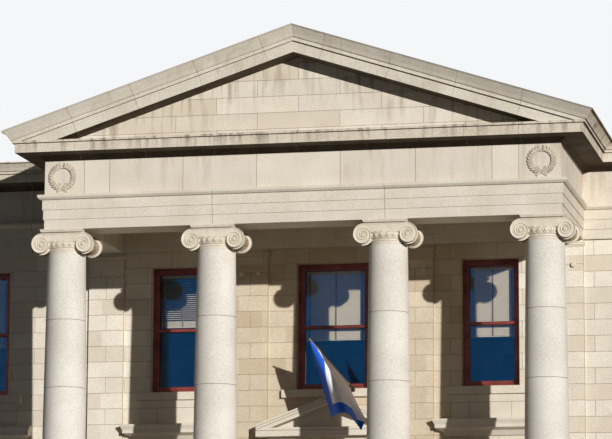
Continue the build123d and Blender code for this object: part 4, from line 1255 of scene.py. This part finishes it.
def slat_blind(name, width, raised):
    """A blind of thin arched slats on tapes, about y = 0, head at z = 0; a raised one has its slats open and a pile
    of gathered slats at the foot."""
    pitch, count, tilt = RAISED_SLATS if raised else CLOSED_SLATS
    slat = settle(blank(bpy.ops.mesh.primitive_grid_add, (width, SLAT_WIDTH, 1), x_subdivisions=1, y_subdivisions=3,
                        size=1, location=(0, 0, -FIRST_SLAT)))
    edit(slat)
    shift(slat, lambda vert: abs(vert.co.y) < 0.3 * SLAT_WIDTH, (0, 0, SLAT_ARCH))
    bpy.ops.mesh.select_all(action="SELECT")
    bpy.ops.transform.rotate(value=radians(tilt), orient_axis="X", center_override=(0, 0, -FIRST_SLAT))
    done()
    repeated(slat, count, (0, 0, -pitch))
    foot = -FIRST_SLAT - count * pitch
    half = width / 2
    parts = [slat, stone_block("head_box", (-half, -0.03, -HEAD_BOX), (half, 0.03, 0), 0.004)]
    if raised:
        gathered = stone_block("gathered_slats", (-half, -0.024, foot - 0.005), (half, 0.024, foot), 0)
        parts.append(repeated(gathered, GATHERED_SLATS, (0, 0, -GATHERED_PITCH)))
        foot -= PILE_HEIGHT
    parts.append(stone_block("bottom_rail", (-half, -0.022, foot - 0.012), (half, 0.022, foot + 0.012), 0.004))
    for x in (-0.44 * width, 0, 0.44 * width):
        parts.append(stone_block("tape", (x - 0.014, -0.0262, foot), (x + 0.014, -0.0245, -HEAD_BOX), 0))
    return joined(name, parts)


def hang_blinds(name, spots, turn, origin):
    """Blinds behind all the windows of one wall: spots are (along, sill level, width, raised or not)."""
    blinds = []
    for along, sill, width, raised in spots:
        blind = slat_blind("blind", width - 2 * FRAME_STILE - 0.01, raised)
        blind.data.transform(Matrix.Translation((along, BLIND_BEHIND_FACE, sill + WINDOW_HEIGHT - FRAME_STILE)))
        blind.data.transform(Matrix.Translation(origin) @ Matrix.Rotation(turn, 4, "Z"))
        blinds.append(blind)
    wall_of_blinds = joined(name, blinds)
    edit(wall_of_blinds)
    pick(wall_of_blinds, "faces", lambda face: face.calc_area() > TAPE_AREA and min(
        edge.calc_length() for edge in face.edges) < TAPE_WIDTH)
    mark(wall_of_blinds, 1)
    done()
    dressed(wall_of_blinds, blind_slats, "painted_joinery", joints=blind_tape)


def make_blinds():
    front = [(0, UPPER_SILL, MIDDLE_WINDOW, False)]
    for side in (-1, 1):
        for sill in (UPPER_SILL, GROUND_SILL):
            raised = side < 0 and sill == UPPER_SILL
            front += [(side * SIDE_WINDOW_X, sill, SIDE_WINDOW, raised),
                      (side * END_WINDOW_X, sill, END_WINDOW, False)]
    middle = (REAR_Y + WALL_Y) / 2

    def even_run(count, length):
        return [((k - (count - 1) / 2) * length / count, sill, SIDE_WINDOW, False)
                for sill in (UPPER_SILL, GROUND_SILL) for k in range(count)]

    side_run = even_run(4, REAR_Y - WALL_Y)
    hang_blinds("front_blinds", front, 0, (0, WALL_Y, 0))
    hang_blinds("left_blinds", side_run, -pi / 2, (-SIDE_X, middle, 0))
    hang_blinds("right_blinds", side_run, pi / 2, (SIDE_X, middle, 0))
    hang_blinds("rear_blinds", even_run(5, 2 * SIDE_X), pi, (0, REAR_Y, 0))


# Small carved pieces
def laurel_leaf():
    """One leaf, pointed at both ends, standing upright at the origin."""
    leaf = settle(blank(bpy.ops.mesh.primitive_uv_sphere_add, (0.42, 0.42, 1), segments=8, ring_count=6,
                        radius=0.056))
    edit(leaf)
    pick(leaf, "verts", lambda vert: 0.035 < abs(vert.co.z) < 0.054)
    bpy.ops.transform.resize(value=(0.7, 0.7, 1), center_override=(0, 0, 0))
    done()
    bpy.ops.object.shade_smooth()
    return leaf


def ribbon_end(side, reach, lean, knot):
    """One end of the ribbon, wider at its tip, that leans out from the knot."""
    ribbon = stone_block("ribbon", (-0.02, -0.006, 0), (0.02, 0.006, reach), 0.003)
    edit(ribbon)
    pick(ribbon, "verts", lambda vert: vert.co.z > 0.05)
    bpy.ops.transform.resize(value=(1.5, 1, 1), center_override=(0, 0, 0))
    done()
    ribbon.data.transform(Matrix.Translation(knot) @ Matrix.Rotation(side * radians(lean), 4, "Y"))
    return ribbon


def laurel_wreath(name, x):
    """Two laurel branches that meet at the top, tied at the bottom with a crossed ribbon."""
    centre = Vector((x, 0, WREATH_Z))
    leaf = laurel_leaf()
    parts = []
    for side in (-1, 1):
        for k in range(LEAF_STATIONS):
            around = -pi / 2 + side * (radians(16) + k * radians(152) / (LEAF_STATIONS - 1))
            spot = centre + WREATH_RADIUS * Vector((cos(around), 0, sin(around)))
            for spread, out in ((-0.7, -0.03), (0.0, 0.0), (0.7, 0.03)):
                lean = around + side * (pi / 2 - spread)
                place = spot + Vector((cos(around) * out, -0.016, sin(around) * out))
                parts.append(copied(leaf, "leaf", Matrix.Translation(place) @ Matrix.Rotation(pi / 2 - lean, 4, "Y")))
    bpy.data.objects.remove(leaf)
    band = blank(bpy.ops.mesh.primitive_torus_add, major_radius=WREATH_RADIUS, minor_radius=0.009,
                 major_segments=48, minor_segments=6, location=centre, rotation=(pi / 2, 0, 0))
    bpy.ops.object.shade_smooth()
    parts.append(settle(band))
    knot = centre + Vector((0, -0.02, -WREATH_RADIUS))
    parts += [ribbon_end(side, reach, lean, knot) for side in (-1, 1) for reach, lean in ((0.15, 40), (0.13, 118))]
    parts.append(stone_block("knot", knot - Vector((0.024, 0.012, 0.024)), knot + Vector((0.024, 0.01, 0.024)), 0.009))
    dressed(joined(name, parts), wreath_stone, "wall_stone")


def make_rosettes():
    """A small rosette each side of the neck of each pilaster."""
    profile = [(0, -0.03), (0.016, -0.029), (0.022, -0.02), (0.03, -0.018), (0.048, -0.024), (0.058, -0.014),
               (0.06, 0.004), (0, 0.004)]
    parts = [spun("rosette", profile, 20, (x + side * ROSETTE_OUT, PILASTER_Y, ROSETTE_Z), (0, 1, 0))
             for x in COLUMN_XS for side in (-1, 1)]
    dressed(joined("pilaster_rosettes", parts), carved_stone, "wall_stone")


# Porch ceiling and roof
def make_ceiling():
    """Sunk coffers in the underside of the porch ceiling."""
    low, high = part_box("portico_ceiling")
    piece = solid_copy("portico_ceiling", "coffered_ceiling")
    edit(piece)
    for x in steps(low.x + COFFER, high.x - COFFER, COFFER):
        cut_through((x, 0, 0), OUT_X)
    cut_through((0, (low.y + high.y) / 2, 0), OUT_Y)
    pick(piece, "faces", lambda face: face.normal.z < -0.9)
    for thickness, depth in ((0.14, 0), (0.03, -0.025), (0.1, 0), (0.03, -0.025)):
        bpy.ops.mesh.inset(thickness=thickness, depth=depth, use_individual=True)
    done()
    dressed(piece, carved_stone, "wall_stone", "portico_ceiling")


def make_roof_seams():
    """Standing seams down both slopes of the gable roof."""
    low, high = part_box("portico_roof_left")
    top = high.z - PEDIMENT_SLOPE * SEAM_START
    seam = stone_block("seam", (SEAM_START, low.y + 0.5, top - 0.01), (SEAM_END, low.y + 0.53, top + 0.028))
    edit(seam)
    shift(seam, lambda vert: vert.co.x > 3, (0, 0, -PEDIMENT_SLOPE * (SEAM_END - SEAM_START)))
    done()
    right = joined("roof_seams_right", [
        copied(seam, "seam", Matrix.Translation((0, k * SEAM_PITCH, 0))) for k in range(SEAM_COUNT)])
    left = mirrored(right, "roof_seams_left", "X", 0)
    for piece in (right, left):
        dressed(piece, roof_covering, "roof_cover")
    bpy.data.objects.remove(seam)


# Entrance door
def door_leaf(low, high):
    """One leaf with three sunk and fielded panels, worked on both faces."""
    leaf = stone_block("door_leaf", low, high, 0)
    rails = ((low[2] + 0.2, low[2] + 0.95), (low[2] + 1.1, low[2] + 1.75), (low[2] + 1.9, high[2] - 0.13))
    stiles = (low[0] + 0.13, high[0] - 0.13)
    edit(leaf)
    for level in (level for pair in rails for level in pair):
        cut_through((0, 0, level), UP)
    for x in stiles:
        cut_through((x, 0, 0), OUT_X)

    def panel(face):
        middle = face.calc_center_median()
        return (abs(face.normal.y) > 0.9 and stiles[0] < middle.x < stiles[1]
                and any(bottom < middle.z < top for bottom, top in rails))

    pick(leaf, "faces", panel)
    for thickness, depth in ((0.02, -0.016), (0.05, 0), (0.02, 0.01)):
        bpy.ops.mesh.inset(thickness=thickness, depth=depth, use_individual=True)
    done()
    return bevelled(leaf, 0.003, 1)


def make_door():
    low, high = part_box("door_leaves")
    leaves = [door_leaf((low.x, low.y, low.z), (-0.004, high.y, high.z)),
              door_leaf((0.004, low.y, low.z), (high.x, high.y, high.z))]
    dressed(joined("panelled_door_leaves", leaves), red_joinery, "painted_joinery", "door_leaves")
    profile = [(0, -0.075), (0.018, -0.073), (0.032, -0.058), (0.032, -0.045), (0.014, -0.03), (0.012, -0.008),
               (0.034, -0.006), (0.036, 0.002), (0, 0.002)]
    knobs = [spun("knob", profile, 24, (x, low.y, low.z + KNOB_HEIGHT), (0, 1, 0)) for x in (-KNOB_X, KNOB_X)]
    dressed(joined("door_knobs", knobs), old_brass, "bracket_metal")
    low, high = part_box("door_transom_glass")
    bars = [stone_block("bar", (x - 0.022, low.y - 0.02, low.z), (x + 0.022, low.y + 0.03, high.z))
            for x in (-BAR_X, BAR_X)]
    dressed(joined("transom_bars", bars), red_joinery, "painted_joinery")


# Flag, pole and bracket
def along_pole(name, profile):
    """A turned piece whose axis is the flag pole, its heights measured up the pole from its foot."""
    piece = spun(name, profile, 24)
    piece.data.transform(Matrix.Translation(POLE_FOOT) @ POLE_WAY.to_track_quat("Z", "Y").to_matrix().to_4x4())
    return piece


def make_pole():
    pole = along_pole("turned_flag_pole", [
        (0, 0), (0.019, 0), (0.019, 0.3), (0.014, POLE_RUN - 0.05), (0.02, POLE_RUN - 0.046),
        (0.02, POLE_RUN - 0.036), (0.011, POLE_RUN - 0.03), (0.017, POLE_RUN - 0.02), (0.017, POLE_RUN - 0.01),
        (0.01, POLE_RUN), (0, POLE_RUN + 0.002)])
    dressed(pole, varnished_pole, "pole_wood", "flag_pole")
    wall_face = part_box("flag_bracket")[1].y
    x, z = POLE_FOOT.x, POLE_FOOT.z
    plate = stone_block("bracket_plate", (x - 0.045, wall_face - PLATE, z - 0.08), (x + 0.045, wall_face, z + 0.05))
    socket = along_pole("bracket_socket", [
        (0, -0.1), (0.026, -0.1), (0.026, 0.09), (0.032, 0.094), (0.032, 0.112), (0.024, 0.116), (0.0195, 0.116),
        (0.0195, 0.02), (0, 0.02)])
    bolts = [spun("bolt", [(0, -0.012), (0.008, -0.011), (0.012, -0.004), (0.012, 0), (0, 0)], 12,
                  (x + out, wall_face - PLATE, z - 0.062), (0, 1, 0)) for out in (-0.025, 0.025)]
    dressed(joined("wall_bracket", [plate, socket, *bolts]), dark_bronze, "bracket_metal", "flag_bracket")


def flag_cloth_at_start():
    """The flat cloth, hoist on the pole, held out square to the pole, with its pinned hoist and two fly corners."""
    low = POLE_TIP - POLE_WAY * (FLAG_BELOW_TIP + FLAG_HOIST)
    down = (-UP + POLE_WAY * POLE_WAY.z).normalized()
    down.rotate(Matrix.Rotation(FLAG_SWING, 3, POLE_WAY))
    normal = down.cross(POLE_WAY)
    cloth = settle(blank(bpy.ops.mesh.primitive_grid_add, x_subdivisions=56, y_subdivisions=44, size=1,
                         calc_uvs=True, location=(0.5, 0.5, 0)))
    cloth.name = "draped_flag"
    corners = {}
    pins = cloth.vertex_groups.new(name="pins")
    for vert in cloth.data.vertices:
        fly, hoist = vert.co.x, vert.co.y
        wave = 0.012 * sin(9 * hoist + 3 * fly) * fly
        vert.co = low + down * FLAG_FLY * fly + POLE_WAY * FLAG_HOIST * hoist + normal * wave
        at_corner = fly > 0.999 and (hoist < 0.001 or hoist > 0.999)
        if fly < 0.001 or at_corner:
            pins.add([vert.index], 1.0, "REPLACE")
        if at_corner:
            corners["top" if hoist > 0.5 else "low"] = vert
    return cloth, corners


def corner_lead(cloth, name, corner):
    """An empty that leads one corner of the cloth, by a hook."""
    cloth.vertex_groups.new(name=name).add([corner.index], 1.0, "REPLACE")
    lead = new_object(name, None)
    lead.location = corner.co
    hook = cloth.modifiers.new(name, "HOOK")
    hook.object = lead
    hook.vertex_group = name
    hook.matrix_inverse = Matrix.Translation(-corner.co)
    return lead


def drape(cloth, corners):
    """Lead the fly's corners to where the breeze holds them, and let the cloth fall between them and the pole."""
    leads = [(corner_lead(cloth, name, corners[name]), corners[name].co.copy(), end)
             for name, end in (("top", TOP_CORNER_END), ("low", LOW_CORNER_END))]
    wall = blank(bpy.ops.mesh.primitive_cube_add, size=1, location=(0, WALL_Y + 0.4, 7), scale=(6, 1, 6))
    wall.modifiers.new("wall", "COLLISION")
    hanging = cloth.modifiers.new("hanging", "CLOTH")
    for label, value in (("quality", 6), ("mass", 0.25), ("air_damping", 1.0), ("tension_stiffness", 25),
                         ("compression_stiffness", 25), ("shear_stiffness", 8), ("bending_stiffness", 0.5),
                         ("vertex_group_mass", "pins")):
        setattr(hanging.settings, label, value)
    hanging.collision_settings.distance_min = 0.01
    hanging.collision_settings.use_self_collision = True
    hanging.collision_settings.self_distance_min = 0.006
    hanging.point_cache.frame_end = FLAG_FRAMES
    scene = bpy.context.scene
    calm = scene.gravity.copy()
    scene.gravity = FLAG_BREEZE * 9.81
    for frame_number in range(1, FLAG_FRAMES + 1):
        for lead, start, end in leads:
            lead.location = start.lerp(end, min(1, (frame_number - 1) / LED_FRAMES))
        scene.frame_set(frame_number)
    only(cloth)
    for modifier in list(cloth.modifiers):
        bpy.ops.object.modifier_apply(modifier=modifier.name)
    for helper in [wall] + [lead for lead, start, end in leads]:
        bpy.data.objects.remove(helper)
    scene.gravity = calm
    scene.frame_set(1)


def make_flag():
    cloth, corners = flag_cloth_at_start()
    drape(cloth, corners)
    cloth.vertex_groups.clear()
    only(cloth)
    bpy.ops.object.shade_smooth()
    dressed(cloth, flag_cloth, "flag_cloth", "flag")


make_block_walls()
make_base_stones()
make_gable_stones()
make_mouldings()
make_rakes()
make_small_stones()
make_porch_stones()
laurel_wreath("left_frieze_wreath", COLUMN_XS[0])
laurel_wreath("right_frieze_wreath", COLUMN_XS[3])
make_rosettes()
make_ceiling()
make_roof_seams()
make_frames()
make_blinds()
make_door()
make_pole()
make_flag()


# Stage
def seen_directly(tree):
    """One where a ray comes straight from the camera, a mirror or a pane, and none in scattered light."""
    path = tree.nodes.new("ShaderNodeLightPath").outputs
    return maths(tree, "MAXIMUM", maths(tree, "MAXIMUM", path["Is Camera Ray"], path["Is Glossy Ray"]),
                 path["Is Transmission Ray"])


def make_floor():
    floor = blank(bpy.ops.mesh.primitive_plane_add, size=600, location=(0, 0, -0.002))
    floor.name = "pale_floor"
    material, tree = new_material("pale_floor")
    pale = mixed(tree, noise(tree, object_place(tree), 0.2), tint(214, 213, 210), tint(206, 205, 202))
    seen = seen_directly(tree)
    floor.data.materials.append(surface(material, {
        "Base Color": mixed(tree, seen, tint(44, 43, 42), pale), "Roughness": 0.9,
        "Emission Color": mixed(tree, seen, tint(0, 0, 0), pale), "Emission Strength": 0.5}))


def make_world():
    """A pale surround that lights the shade softly and shows white behind the building."""
    world = bpy.data.worlds.new("pale_surround")
    bpy.context.scene.world = world
    world.use_nodes = True
    tree = world.node_tree
    soft = tree.nodes["Background"]
    fill(tree, soft.inputs, {"Color": tint(130, 176, 240), "Strength": 0.055})
    shown = add_node(tree, "Background", {"Color": tint(244, 246, 248), "Strength": 1.0})
    mix = tree.nodes.new("ShaderNodeMixShader")
    for socket, value in zip(mix.inputs, (seen_directly(tree), soft.outputs["Background"], shown)):
        tree.links.new(value, socket)
    tree.links.new(mix.outputs["Shader"], tree.nodes["World Output"].inputs["Surface"])


def make_light(name, way, energy, angle, colour):
    light = bpy.data.lights.new(name, "SUN")
    light.energy = energy
    light.angle = radians(angle)
    light.color = colour
    lamp = new_object(name, light)
    lamp.rotation_mode = "QUATERNION"
    lamp.rotation_quaternion = way.to_track_quat("-Z", "Y")


def make_camera():
    data = bpy.data.cameras.new("camera")
    data.lens = CAMERA_LENS
    data.sensor_width = 36
    data.clip_end = 1000
    camera = new_object("camera", data)
    turned = Matrix.Rotation(CAMERA_YAW, 4, "Z") @ Matrix.Rotation(pi / 2 + CAMERA_PITCH, 4, "X")
    camera.matrix_world = Matrix.Translation(CAMERA_PLACE) @ turned @ Matrix.Rotation(CAMERA_ROLL, 4, "Z")
    bpy.context.scene.camera = camera


make_floor()
make_world()
make_light("key_light", SUNLIGHT, energy=3.75, angle=0.7, colour=(1.0, 0.99, 0.975))
make_light("soft_light_from_behind", SOFT_LIGHT, energy=2.4, angle=50, colour=(1.0, 1.0, 1.0))
make_camera()
bpy.context.scene.view_settings.view_transform = "Standard"
